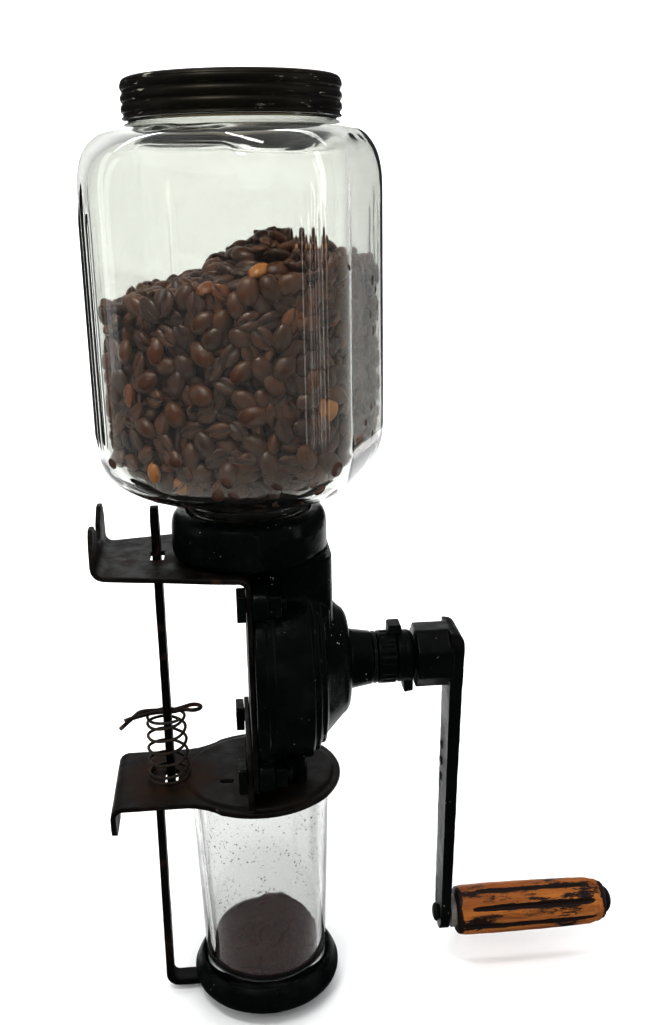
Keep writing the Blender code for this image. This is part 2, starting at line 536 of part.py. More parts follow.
# =====================================================================================================
# Sprung cup holder
# =====================================================================================================
strap_path = [(STRAP_X, STRAP_TOP), (STRAP_X, -2.6), (STRAP_LOW_X, -11.0), (STRAP_LOW_X - 0.6, ARM_Z), (10.0, ARM_Z)]
strap = slab("holder_strap", [strip(strap_path, [0, 4.0, 4.0, 4.6, 0], STRAP_T)], STRAP_W, PLANE_XZ)
top_round = [(-8, STRAP_TOP + 3), (-8, STRAP_TOP - 2.4), (-4.6, STRAP_TOP - 2.4), (-3.2, STRAP_TOP - 0.5), (-1.4, STRAP_TOP - 0.05), (1.4, STRAP_TOP - 0.05), (3.2, STRAP_TOP - 0.5), (4.6, STRAP_TOP - 2.4), (8, STRAP_TOP - 2.4), (8, STRAP_TOP + 3)]
cut(strap, slab("strap_top_cut", [top_round], 10, PLANE_YZ, (STRAP_X, 0, 0)))
cut(strap, slab("strap_pin_slot_cut", [arc(-1.05, PIN_Z, 1.3, 90, 270, 6) + arc(1.05, PIN_Z, 1.3, -90, 90, 6)], 10, PLANE_YZ, (STRAP_X, 0, 0)))
for x in (-17.0, 4.0):
    cut(strap, rod("strap_rivet_cut", 2.7, (x, 0, ARM_Z - 6), (x, 0, ARM_Z + 6), 16))
node(strap, STEEL)

tray_bottom = TRAY_FLOOR_TOP - TRAY_FLOOR_T
tray = turned("cup_tray", [
    (0, TRAY_FLOOR_TOP), (30.5, TRAY_FLOOR_TOP), (31.2, -106.8), (31.5, -98.6), (32.6, -98.4), (TRAY_R, -105.9), (TRAY_R, -107.6), (35.7, -109.9), (33.8, tray_bottom), (0, tray_bottom),
], 40, "Z", (AXIS_X, 0, 0))
for x in (-17.0, 4.0):
    cut(tray, rod("tray_rivet_cut", 2.7, (x, 0, tray_bottom - 2), (x, 0, TRAY_FLOOR_TOP + 2), 16), rod("tray_rivet_sink_cut", 4.6, (x, 0, TRAY_FLOOR_TOP - 1.5), (x, 0, TRAY_FLOOR_TOP + 2), 16))
node(tray, IRON)
for x, where in ((-17.0, "outer"), (4.0, "inner")):
    z0 = ARM_Z - STRAP_T / 2 - CLEAR
    rivet = turned("tray_rivet_" + where, [(0, TRAY_FLOOR_TOP - 0.2), (4.2, TRAY_FLOOR_TOP - 0.2), (4.2, TRAY_FLOOR_TOP - 1.1), (2.35, TRAY_FLOOR_TOP - 1.1), (2.35, z0), (4.4, z0), (3.8, z0 - 1.2), (2.2, z0 - 1.9), (0, z0 - 2.1)], 16, "Z", (x, 0, 0))
    node(rivet, RAW)


def wire(name, points, r, look, res=2):
    cu = bpy.data.curves.new(name, "CURVE")
    cu.dimensions = "3D"
    cu.bevel_depth = r * MM
    cu.bevel_resolution = res
    cu.use_fill_caps = True
    sp = cu.splines.new("POLY")
    sp.points.add(len(points) - 1)
    for p, q in zip(sp.points, points):
        p.co = (*W(*q), 1)
    obj = bpy.data.objects.new(name, cu)
    bpy.context.scene.collection.objects.link(obj)
    return node(realise(obj), look)


def smooth_path(points, per=4):
    """Catmull-Rom points through the given ones."""
    P = [Vector(p) for p in points]
    P = [2 * P[0] - P[1]] + P + [2 * P[-1] - P[-2]]
    out = []
    for i in range(1, len(P) - 2):
        for k in range(per):
            t = k / per
            out.append(0.5 * (2 * P[i] + (P[i + 1] - P[i - 1]) * t + (2 * P[i - 1] - 5 * P[i] + 4 * P[i + 1] - P[i + 2]) * t * t + (3 * P[i] - P[i - 1] - 3 * P[i + 1] + P[i + 2]) * t ** 3))
    return out + [P[-2]]


# split pin: two legs through the strap, an eye on the mill side, and the ends sprung apart on the wall side
eye = [(-31.2 + 3.6 * math.cos(math.radians(a)), 3.0 * math.sin(math.radians(a)), PIN_Z + 1.1) for a in range(-130, 131, 26)]
leg_a = [(-63.6, -3.8, PIN_Z - 2.0), (-58.0, -2.9, PIN_Z - 0.9), (-51.0, -1.4, PIN_Z - 0.1), (STRAP_X - 3, -1.05, PIN_Z), (STRAP_X + 3, -1.05, PIN_Z), (-37.0, -1.1, PIN_Z + 0.7)]
leg_b = [(-37.0, 1.1, PIN_Z + 0.7), (STRAP_X + 3, 1.05, PIN_Z), (STRAP_X - 3, 1.05, PIN_Z), (-51.0, 1.4, PIN_Z), (-56.2, 2.2, PIN_Z - 0.8), (-59.6, 2.7, PIN_Z - 3.4), (-66.6, 3.4, PIN_Z - 9.8)]
wire("cotter_pin", smooth_path(leg_a + eye + leg_b, 2), 0.92, RUST, 1)

# compression spring: closed turns at both ends
TURNS, SPRING_R, SPRING_WIRE = 6.5, 9.3, 0.7
spring_z0, spring_z1 = 3.3 + 0.0 + SPRING_WIRE - 0.6, PIN_Z - 0.92 - CLEAR - SPRING_WIRE
coil = []
steps = int(TURNS * 10)
for k in range(steps + 1):
    f = k / steps
    turn = f * TURNS
    rise = (min(turn, 1.0) * 1.55 + max(0.0, min(turn, TURNS - 1.0) - 1.0) * ((spring_z1 - spring_z0 - 3.1) / (TURNS - 2.0)) + max(0.0, turn - (TURNS - 1.0)) * 1.55)
    a = 2 * math.pi * turn + 2.4
    coil.append((STRAP_X - 0.9 + SPRING_R * math.cos(a), SPRING_R * math.sin(a), spring_z0 + rise))
wire("holder_spring", coil, SPRING_WIRE, RUST)

# =====================================================================================================
# Glass cup and ground coffee
# =====================================================================================================
cup = turned("cup_glass", [
    (33.0, CUP_TOP), (33.7, CUP_TOP - 0.5), (CUP_R_TOP, CUP_TOP - 1.6), (33.4, -12.0), (CUP_R_BASE + 0.3, -102.0), (CUP_R_BASE, -105.4), (28.4, CUP_BASE), (0, CUP_BASE),
    (0, -99.2), (23.0, -99.2), (25.8, -97.6), (26.9, -94.0), (30.9, -12.0), (31.3, -1.4), (31.8, CUP_TOP),
], 40, "Z", (AXIS_X, 0, 0))
node(cup, GLASS)
ground = turned("ground_coffee", [(0, -85.6), (9.0, -85.4), (17.0, -84.4), (23.0, -84.0), (26.6, -85.0), (26.5, -94.0), (25.4, -97.2), (22.8, -98.8), (0, -98.8)], 32, "Z", (AXIS_X, 0, 0))
node(ground, ((0.05, 0.018, 0.012), 0.9, 0.0))

# =====================================================================================================
# Jar, beans, lid
# =====================================================================================================
SEG = 36


def jar_ring(half, corner, z):
    """Ring of a rounded square turned by JAR_TURN. half is the silhouette half-width and corner the offset of the arc centres; 0 makes a circle."""
    turn = math.radians(JAR_TURN)
    rho = half - corner * (math.cos(turn) + math.sin(turn))
    out = []
    for k in range(SEG):
        t = 2 * math.pi * (k + 0.5) / SEG
        c, s = abs(math.cos(t)), abs(math.sin(t))
        lo, hi = min(c, s), max(c, s)
        if lo * (corner + rho) < corner * hi:
            r = (corner + rho) / hi
        else:
            q = corner * (c + s)
            r = q + math.sqrt(max(0.0, q * q - 2 * corner * corner + rho * rho))
        out.append((r * math.cos(t - turn) + AXIS_X, r * math.sin(t - turn), z))
    return out


outer = [(42.4, 0, JAR_TOP), (42.4, 0, 301.6), (46.2, 2.0, 300.1), (55.0, 13.0, 297.0), (60.8, 20.6, 290.4), (63.0, 23.0, 282.4), (JAR_HALF, JAR_CORNER, 275.4), (JAR_HALF, JAR_CORNER, 226.0), (JAR_HALF, JAR_CORNER, 171.0),
         (62.5, 23.0, 163.6), (59.4, 20.2, 157.2), (53.6, 14.4, 151.6), (44.8, 7.0, 147.4), (35.0, 2.0, 145.2), (27.4, 0, 143.7), (26.7, 0, 141.4), (26.7, 0, 126.0), (26.1, 0, JAR_NECK_BOTTOM)]
inner = [(22.8, 0, JAR_NECK_BOTTOM), (22.8, 0, 143.0), (25.0, 0, 147.2), (33.6, 2.0, 148.9), (43.2, 7.0, 151.2), (51.2, 13.8, 155.0), (56.4, 19.2, 160.2), (59.2, 21.8, 165.8), (JAR_HALF - JAR_WALL, 22.6, 172.4), (JAR_HALF - JAR_WALL, 22.6, 226.0), (JAR_HALF - JAR_WALL, 22.6, 274.6),
         (59.4, 21.8, 281.4), (57.2, 18.8, 288.2), (52.0, 11.8, 293.8), (44.2, 2.0, 296.9), (39.2, 0, 299.4), (38.6, 0, 302.4), (38.6, 0, JAR_TOP)]
jar = rings_to_mesh("hopper_jar", [jar_ring(*r) for r in outer + inner], loop=True)
node(smooth(jar), GLASS)

pile = [(21.8, 0, JAR_NECK_BOTTOM + 1.5), (21.8, 0, 143.8), (24.4, 0, 148.6), (33.2, 2.0, 150.2), (42.4, 7.0, 152.5), (50.0, 13.4, 156.2), (55.2, 18.6, 161.2), (58.0, 21.2, 166.8), (JAR_HALF - JAR_WALL - 1, 22.2, 173.2), (JAR_HALF - JAR_WALL - 1, 22.2, 234.0)]
rings = [jar_ring(*r) for r in pile]
for half, corner in ((49.0, 17.0), (36.5, 9.0), (23.0, 3.0), (10.0, 0)):
    ring = []
    for x, y, _ in jar_ring(half, corner, 0):
        # the pile leans up towards the crank side, with its crown off the axis
        d = math.hypot(x - 16.0, y + 4.0)
        ring.append((x, y, 234.5 + 23.5 * math.exp(-(d / 38.0) ** 2) + 0.05 * x))
    rings.append(ring)
beans = rings_to_mesh("coffee_beans", rings, close_ends=True)
node(smooth(beans), BEAN)

lid = turned("jar_lid", [
    (0, LID_TOP), (42.0, LID_TOP), (44.0, LID_TOP - 0.5), (LID_R - 0.1, LID_TOP - 1.9), (LID_R, LID_TOP - 3.6), (44.5, LID_TOP - 5.0), (LID_R, LID_TOP - 6.8), (44.5, LID_TOP - 8.4),
    (LID_R, LID_TOP - 10.0), (44.5, LID_TOP - 11.6), (44.6, LID_BOTTOM + 1.6), (LID_R, LID_BOTTOM + 0.5), (44.9, LID_BOTTOM),
    (43.9, LID_BOTTOM), (43.7, LID_TOP - 2.4), (43.0, LID_TOP - 1.5), (0, LID_TOP - 1.5)], 40, "Z", (AXIS_X, 0, 0))
node(lid, LIDM)
liner = turned("lid_liner", [(0, LID_TOP - 1.8), (42.6, LID_TOP - 1.8), (43.0, LID_TOP - 2.2), (43.0, JAR_TOP + CLEAR), (0, JAR_TOP + CLEAR)], 32, "Z", (AXIS_X, 0, 0))
node(liner, ((0.45, 0.38, 0.28), 0.8, 0.0))

for obj in MILL.objects:
    if obj.type == "MESH" and any(m.type == "BOOLEAN" for m in obj.modifiers):
        obj.data.shade_smooth()
        obj.data.set_sharp_from_angle(angle=math.radians(35))
bpy.context.view_layer.update()
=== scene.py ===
"""Looks for the wall-mounted coffee mill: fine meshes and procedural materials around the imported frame."""

import math
import bmesh
import bpy
import numpy as np
from mathutils import Matrix, Vector, noise


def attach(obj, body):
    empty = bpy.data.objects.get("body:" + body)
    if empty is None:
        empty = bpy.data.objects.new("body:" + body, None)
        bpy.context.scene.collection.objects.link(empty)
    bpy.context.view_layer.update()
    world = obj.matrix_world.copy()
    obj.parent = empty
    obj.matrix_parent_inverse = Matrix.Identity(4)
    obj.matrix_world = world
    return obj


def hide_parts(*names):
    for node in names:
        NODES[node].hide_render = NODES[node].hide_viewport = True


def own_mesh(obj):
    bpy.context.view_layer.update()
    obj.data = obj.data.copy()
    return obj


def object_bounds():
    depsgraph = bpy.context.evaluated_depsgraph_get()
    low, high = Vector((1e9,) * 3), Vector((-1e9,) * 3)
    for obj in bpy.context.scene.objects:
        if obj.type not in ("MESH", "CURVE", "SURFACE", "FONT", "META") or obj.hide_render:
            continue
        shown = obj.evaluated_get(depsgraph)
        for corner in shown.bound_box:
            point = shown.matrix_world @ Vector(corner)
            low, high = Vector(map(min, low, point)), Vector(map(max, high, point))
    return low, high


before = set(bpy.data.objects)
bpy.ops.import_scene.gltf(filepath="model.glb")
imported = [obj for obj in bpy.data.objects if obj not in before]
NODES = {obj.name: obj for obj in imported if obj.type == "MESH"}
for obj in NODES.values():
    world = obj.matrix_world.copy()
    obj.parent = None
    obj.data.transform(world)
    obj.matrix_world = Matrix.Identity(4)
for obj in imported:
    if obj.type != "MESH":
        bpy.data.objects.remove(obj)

CAD_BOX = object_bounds()
MM = 0.001
AX = -1.0       # common vertical axis of jar, lid, collar, cup and tray, in mill millimetres
SHAFT = 59.3
GRIP = -86.0
rng = np.random.default_rng(11)


def W(x, y, z):
    return Vector(((x + 71.0) * MM, y * MM, (z - 121.0) * MM))


# ------------------------------------------------------------------ camera
a, p, r = 0.0873, 0.2893, 0.021
right = Vector((math.cos(a), -math.sin(a), 0))
ahead = Vector((math.sin(a) * math.cos(p), math.cos(a) * math.cos(p), -math.sin(p)))
up = Vector((math.sin(a) * math.sin(p), math.cos(a) * math.sin(p), math.cos(p)))
cx = right * math.cos(r) - up * math.sin(r)
cy = right * math.sin(r) + up * math.cos(r)
cam = bpy.data.objects.new("camera", bpy.data.cameras.new("camera"))
bpy.context.scene.collection.objects.link(cam)
cam.data.sensor_width = 36
cam.data.lens = 38.63
cam.data.clip_start = 0.01
cam.data.clip_end = 50
m = Matrix((cx, cy, -ahead)).transposed().to_4x4()
m.translation = Vector((0.0616, -0.4802, 0.1548))
cam.matrix_world = m
bpy.context.scene.camera = cam


# ------------------------------------------------------------------ mesh helpers
def add(name, me):
    o = bpy.data.objects.new(name, me)
    bpy.context.scene.collection.objects.link(o)
    return o


def from_bm(name, bm, weld=True):
    if weld:
        bmesh.ops.remove_doubles(bm, verts=bm.verts, dist=1e-7)
    bmesh.ops.recalc_face_normals(bm, faces=bm.faces)
    me = bpy.data.meshes.new(name)
    bm.to_mesh(me)
    bm.free()
    return add(name, me)


def loft(name, rings, loop=False, caps=False):
    """Mesh through rings (lists of world points in metres)."""
    n = len(rings[0])
    co = np.array([[tuple(q) for q in ring] for ring in rings], float).reshape(-1, 3)
    faces = []
    k = len(rings)
    for i in range(k if loop else k - 1):
        b = ((i + 1) % k) * n
        c = i * n
        for j in range(n):
            jj = (j + 1) % n
            faces.append((c + j, c + jj, b + jj, b + j))
    if caps:
        faces.append(tuple(range(n))[::-1])
        faces.append(tuple((k - 1) * n + j for j in range(n)))
    me = bpy.data.meshes.new(name)
    me.from_pydata([tuple(q) for q in co], [], faces)
    bm = bmesh.new()
    bm.from_mesh(me)
    bmesh.ops.remove_doubles(bm, verts=bm.verts, dist=1e-7)
    bmesh.ops.recalc_face_normals(bm, faces=bm.faces)
    bm.to_mesh(me)
    bm.free()
    return add(name, me)


def soften(profile, radius=0.5, steps=3, closed=False):
    """Profile with every corner rounded by up to radius."""
    pts = [Vector(q) for q in profile]
    out = []
    n = len(pts)
    for i, q in enumerate(pts):
        if not closed and i in (0, n - 1):
            out.append(q)
            continue
        u, v = pts[i - 1] - q, pts[(i + 1) % n] - q
        lu, lv = u.length, v.length
        if lu < 1e-6 or lv < 1e-6:
            continue
        d = min(radius, lu * 0.45, lv * 0.45)
        s, e = q + u / lu * d, q + v / lv * d
        for k in range(steps + 1):
            t = k / steps
            out.append(s * (1 - t) ** 2 + q * 2 * t * (1 - t) + e * t * t)
    return [(q.x, q.y) for q in out]


def lathe(name, profile, segs=128, axis="Z", at=(0, 0, 0), wobble=None, sheet=False):
    """Turned body from (radius, height) points in mm, closed if it neither starts nor ends on the axis."""
    closed = not sheet and not (profile[0][0] < 1e-6 and profile[-1][0] < 1e-6)
    rings = []
    for rr, h in profile:
        ring = []
        for k in range(segs):
            t = 2 * math.pi * k / segs
            q = rr if wobble is None else rr + wobble(t, h, rr)
            if axis == "Z":
                ring.append(W(at[0] + q * math.cos(t), at[1] + q * math.sin(t), at[2] + h))
            else:
                ring.append(W(at[0] + h, at[1] + q * math.cos(t), at[2] + q * math.sin(t)))
        rings.append(ring)
    return loft(name, rings, loop=closed)


def block(name, pts, lo, hi, plane):
    """Prism of a flat outline in mill mm. plane names its two axes, and lo and hi are along the third."""
    third = [c for c in "XYZ" if c not in plane][0]
    rings = []
    for h in (lo, hi):
        ring = []
        for u, v in pts:
            c = {plane[0]: u, plane[1]: v, third: h}
            ring.append(W(c["X"], c["Y"], c["Z"]))
        rings.append(ring)
    return loft(name, rings, caps=True)


def rounded(pts, rad, n=5):
    return soften(pts, rad, n, closed=True)


def merged(name, parts):
    """One object of several, whose faces may pass through each other."""
    bm = bmesh.new()
    for o in parts:
        bm.from_mesh(o.data)
        bpy.data.objects.remove(o, do_unlink=True)
    me = bpy.data.meshes.new(name)
    bm.to_mesh(me)
    bm.free()
    return add(name, me)


def applied(o):
    bpy.context.view_layer.update()
    dg = bpy.context.evaluated_depsgraph_get()
    me = bpy.data.meshes.new_from_object(o.evaluated_get(dg))
    name = o.name
    bpy.data.objects.remove(o, do_unlink=True)
    me.name = name
    return add(name, me)


def cast(o, voxel=0.5, smooth=4, lump=0.0, lump_scale=90.0):
    """The closed bodies in o fused into one skin with soft inside and outside corners, like a painted casting."""
    mod = o.modifiers.new("skin", "REMESH")
    mod.mode = "VOXEL"
    mod.voxel_size = voxel * MM
    mod.adaptivity = 0
    mod = o.modifiers.new("soft", "SMOOTH")
    mod.factor = 0.5
    mod.iterations = smooth
    o = applied(o)
    if lump:
        me = o.data
        co = np.empty(len(me.vertices) * 3)
        no = np.empty(len(me.vertices) * 3)
        me.vertices.foreach_get("co", co)
        me.vertex_normals.foreach_get("vector", no)
        co, no = co.reshape(-1, 3), no.reshape(-1, 3)
        h = np.array([noise.noise(Vector(q) * lump_scale) + 0.5 * noise.noise(Vector(q) * lump_scale * 2.7) for q in co])
        co = co + no * (h * lump * MM)[:, None]
        me.vertices.foreach_set("co", co.reshape(-1))
        me.update()
    o.data.shade_smooth()
    return o


def copy_of(*names):
    objs = []
    for n in names:
        src = NODES[n]
        me = src.data.copy()
        me.transform(src.matrix_world)
        objs.append(add(n + "_copy", me))
    return objs


def smooth_angle(o, deg=35):
    o.data.shade_smooth()
    o.data.set_sharp_from_angle(angle=math.radians(deg))
    return o


def piece(o, body, nodes, material):
    co = np.empty(len(o.data.vertices) * 3)
    o.data.vertices.foreach_get("co", co)
    co = np.clip(co.reshape(-1, 3), np.array(CAD_BOX[0]), np.array(CAD_BOX[1]))
    o.data.vertices.foreach_set("co", co.reshape(-1))
    o.data.update()
    o.data.materials.clear()
    o.data.materials.append(material)
    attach(o, body)
    if nodes:
        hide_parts(*nodes)
    return o


# ------------------------------------------------------------------ material helpers
class Mat:
    def __init__(self, name):
        self.mat = bpy.data.materials.new(name)
        self.mat.use_nodes = True
        self.nt = self.mat.node_tree
        self.sh = self.nt.nodes["Principled BSDF"]
        self.out = self.nt.nodes["Material Output"]
        self.coord = self.nt.nodes.new("ShaderNodeTexCoord").outputs["Object"]

    def link(self, x, socket):
        if hasattr(x, "is_linked"):
            self.nt.links.new(x, socket)
        elif isinstance(x, (tuple, list)) and len(x) == 3 and socket.type == "RGBA":
            socket.default_value = (*x, 1)
        else:
            socket.default_value = x
        return socket

    def map(self, scale=(1, 1, 1), rot=(0, 0, 0), loc=(0, 0, 0)):
        n = self.nt.nodes.new("ShaderNodeMapping")
        self.nt.links.new(self.coord, n.inputs["Vector"])
        n.inputs["Scale"].default_value = scale
        n.inputs["Rotation"].default_value = rot
        n.inputs["Location"].default_value = loc
        return n.outputs[0]

    def noise(self, scale, detail=4, rough=0.55, vec=None, distort=0.0):
        n = self.nt.nodes.new("ShaderNodeTexNoise")
        self.nt.links.new(vec or self.coord, n.inputs["Vector"])
        n.inputs["Scale"].default_value = scale
        n.inputs["Detail"].default_value = detail
        n.inputs["Roughness"].default_value = rough
        n.inputs["Distortion"].default_value = distort
        return n.outputs[0]

    def cells(self, scale, vec=None, feature="F1", rand=1.0):
        n = self.nt.nodes.new("ShaderNodeTexVoronoi")
        n.feature = feature
        self.nt.links.new(vec or self.coord, n.inputs["Vector"])
        n.inputs["Scale"].default_value = scale
        n.inputs["Randomness"].default_value = rand
        return n.outputs["Distance"]

    def ramp(self, fac, lo, hi, a=0.0, b=1.0):
        n = self.nt.nodes.new("ShaderNodeMapRange")
        n.clamp = True
        n.interpolation_type = "SMOOTHSTEP"
        self.link(fac, n.inputs["Value"])
        n.inputs["From Min"].default_value = lo
        n.inputs["From Max"].default_value = hi
        n.inputs["To Min"].default_value = a
        n.inputs["To Max"].default_value = b
        return n.outputs["Result"]

    def mix(self, fac, x, y):
        n = self.nt.nodes.new("ShaderNodeMix")
        n.data_type = "RGBA"
        self.link(fac, n.inputs["Factor"])
        self.link(x, n.inputs["A"] if False else n.inputs[6])
        self.link(y, n.inputs[7])
        return n.outputs[2]

    def op(self, kind, x, y=0.0):
        n = self.nt.nodes.new("ShaderNodeMath")
        n.operation = kind
        self.link(x, n.inputs[0])
        self.link(y, n.inputs[1])
        return n.outputs[0]

    def edge(self):
        return self.nt.nodes.new("ShaderNodeNewGeometry").outputs["Pointiness"]

    def attr(self, name, colour=False):
        n = self.nt.nodes.new("ShaderNodeAttribute")
        n.attribute_name = name
        return n.outputs["Color" if colour else "Fac"]

    def axis(self, k, vec=None):
        n = self.nt.nodes.new("ShaderNodeSeparateXYZ")
        self.nt.links.new(vec or self.coord, n.inputs[0])
        return n.outputs[k]

    def bump(self, height, strength=0.3, dist=0.0005, prev=None):
        n = self.nt.nodes.new("ShaderNodeBump")
        self.link(height, n.inputs["Height"])
        n.inputs["Strength"].default_value = strength
        n.inputs["Distance"].default_value = dist
        if prev is not None:
            self.nt.links.new(prev, n.inputs["Normal"])
        return n.outputs[0]

    def set(self, **kw):
        names = {"base": "Base Color", "rough": "Roughness", "metal": "Metallic", "normal": "Normal", "coat": "Coat Weight", "coat_rough": "Coat Roughness",
                 "trans": "Transmission Weight", "ior": "IOR", "spec": "Specular IOR Level", "sheen": "Sheen Weight"}
        for k, v in kw.items():
            self.link(v, self.sh.inputs[names[k]])
        return self.mat


def japan(name, tint=(0.0014, 0.0023, 0.0023), wear=0.5, chips=0.5, gloss=0.2, worn_to=(0.055, 0.050, 0.042), dust=0.4):
    """Black japan: a deep green-black gloss, dulled in patches, chipped to pale specks and worn to metal on the edges."""
    m = Mat(name)
    big = m.noise(38, 5, 0.6)
    fine = m.noise(420, 6, 0.65)
    grain = m.noise(1500, 3, 0.6)
    col = m.mix(m.ramp(big, 0.4, 0.72), tint, tuple(c * 1.8 + 0.0006 for c in tint))
    dusty = m.op("MULTIPLY", m.ramp(m.noise(70, 7, 0.7), 0.52, 0.78), dust)
    col = m.mix(dusty, col, (0.014, 0.013, 0.011))
    edge = m.ramp(m.op("ADD", m.edge(), m.op("MULTIPLY", m.op("SUBTRACT", fine, 0.5), 0.09)), 0.535, 0.60, 0.0, wear)
    col = m.mix(edge, col, worn_to)
    chip = m.ramp(m.cells(420, feature="F1"), 0.17, 0.12)
    chip = m.op("MULTIPLY", chip, m.ramp(m.noise(60, 4, 0.6), 0.58, 0.66))
    chip = m.op("MULTIPLY", chip, chips)
    col = m.mix(chip, col, (0.45, 0.43, 0.38))
    rough = m.op("ADD", m.ramp(big, 0.35, 0.75, gloss, gloss + 0.22), m.op("MULTIPLY", dusty, 0.5))
    rough = m.op("ADD", rough, m.op("MULTIPLY", edge, 0.2))
    b = m.bump(m.noise(160, 4, 0.6), 0.22, 0.0006)
    b = m.bump(grain, 0.12, 0.00018, b)
    b = m.bump(chip, 0.25, -0.0003, b)
    return m.set(base=col, rough=rough, normal=b, spec=0.10)


def old_steel(name, dark=(0.0032, 0.0028, 0.0023), mid=(0.014, 0.0118, 0.0085), rust=(0.024, 0.0105, 0.0055), amount=0.5, rough0=0.42, rust_at=None):
    """Paint worn down to grey-brown steel, with rust where it stayed damp and fine scratches."""
    m = Mat(name)
    big = m.noise(28, 6, 0.62, distort=0.4)
    mid_n = m.noise(140, 6, 0.65)
    fine = m.noise(900, 4, 0.6)
    worn = m.ramp(m.op("ADD", big, m.op("MULTIPLY", m.op("SUBTRACT", mid_n, 0.5), 0.35)), 0.56 - 0.22 * amount, 0.72 - 0.16 * amount)
    col = m.mix(worn, dark, mid)
    col = m.mix(m.ramp(fine, 0.35, 0.75, 0.0, 0.45), col, tuple(0.55 * c for c in mid))
    rusty = m.ramp(m.op("ADD", m.noise(45, 7, 0.7), m.op("MULTIPLY", m.op("SUBTRACT", mid_n, 0.5), 0.4)), 0.50, 0.66, 0.0, 0.8)
    if rust_at is not None:
        x0, y0, rad = rust_at
        q = m.nt.nodes.new("ShaderNodeVectorMath")
        q.operation = "DISTANCE"
        flat = m.map((1, 1, 0))
        m.nt.links.new(flat, q.inputs[0])
        q.inputs[1].default_value = (x0, y0, 0)
        near = m.ramp(m.op("ADD", q.outputs["Value"], m.op("MULTIPLY", m.op("SUBTRACT", big, 0.5), 0.03)), rad, rad * 0.35)
        rusty = m.op("MAXIMUM", m.op("MULTIPLY", rusty, 0.3), m.op("MULTIPLY", near, 0.95))
    col = m.mix(rusty, col, m.mix(m.ramp(mid_n, 0.35, 0.7), tuple(0.5 * c for c in rust), tuple(1.7 * c for c in rust)))
    edge = m.ramp(m.op("ADD", m.edge(), m.op("MULTIPLY", m.op("SUBTRACT", mid_n, 0.5), 0.08)), 0.535, 0.6, 0.0, 0.75)
    col = m.mix(edge, col, (0.11, 0.09, 0.068))
    rough = m.op("ADD", m.ramp(mid_n, 0.3, 0.75, rough0, rough0 + 0.22), m.op("MULTIPLY", rusty, 0.18))
    b = m.bump(mid_n, 0.3, 0.0004)
    b = m.bump(fine, 0.18, 0.00015, b)
    b = m.bump(rusty, 0.2, 0.0003, b)
    metal = m.op("MULTIPLY", m.ramp(rusty, 0, 1, 0.18, 0.02), 1.0)
    return m.set(base=col, rough=rough, normal=b, metal=metal, spec=0.16)


def glass(name, tint=(0.965, 0.98, 0.965), haze=0.05, haze_col=(0.34, 0.36, 0.32), wavy=0.25, specks=0.0, rough=0.02, low=None):
    """Old pressed glass: slow waves in the surface, a film of oil and dust, and lamps shine through it."""
    m = Mat(name)
    m.set(base=tint, trans=1.0, ior=1.5)
    film = m.noise(26, 6, 0.62, distort=0.6)
    m.set(rough=m.ramp(film, 0.42, 0.75, rough, rough + 0.09))
    b = m.bump(m.noise(16, 2, 0.4), wavy, 0.0025)
    b = m.bump(m.noise(60, 2, 0.4), wavy * 0.3, 0.0006, b)
    m.set(normal=b)
    nt = m.nt
    dif = nt.nodes.new("ShaderNodeBsdfDiffuse")
    dif.inputs["Color"].default_value = (*haze_col, 1)
    lw = nt.nodes.new("ShaderNodeLayerWeight")
    lw.inputs["Blend"].default_value = 0.35
    amount = m.op("ADD", m.ramp(film, 0.4, 0.75, haze * 0.4, haze * 1.5), m.op("MULTIPLY", m.ramp(lw.outputs["Facing"], 0.45, 1.0), haze * 4.0))
    if low is not None:
        z0, z1, extra = low
        amount = m.op("ADD", amount, m.op("MULTIPLY", m.ramp(m.axis(2), z0, z1), extra))
    if specks:
        s = m.ramp(m.cells(430), 0.21, 0.14)
        s = m.op("MULTIPLY", s, m.ramp(m.noise(62, 5, 0.65), 0.48, 0.58))
        dust = nt.nodes.new("ShaderNodeBsdfDiffuse")
        dust.inputs["Color"].default_value = (0.06, 0.03, 0.02, 1)
        mx0 = nt.nodes.new("ShaderNodeMixShader")
        nt.links.new(m.op("MULTIPLY", s, specks), mx0.inputs[0])
    mx = nt.nodes.new("ShaderNodeMixShader")
    nt.links.new(amount, mx.inputs[0])
    nt.links.new(m.sh.outputs[0], mx.inputs[1])
    nt.links.new(dif.outputs[0], mx.inputs[2])
    last = mx.outputs[0]
    if specks:
        nt.links.new(last, mx0.inputs[1])
        nt.links.new(dust.outputs[0], mx0.inputs[2])
        last = mx0.outputs[0]
    clear = nt.nodes.new("ShaderNodeBsdfTransparent")
    clear.inputs["Color"].default_value = (0.93, 0.95, 0.93, 1)
    path = nt.nodes.new("ShaderNodeLightPath")
    mx2 = nt.nodes.new("ShaderNodeMixShader")
    nt.links.new(path.outputs["Is Shadow Ray"], mx2.inputs[0])
    nt.links.new(last, mx2.inputs[1])
    nt.links.new(clear.outputs[0], mx2.inputs[2])
    nt.links.new(mx2.outputs[0], m.out.inputs["Surface"])
    return m.mat


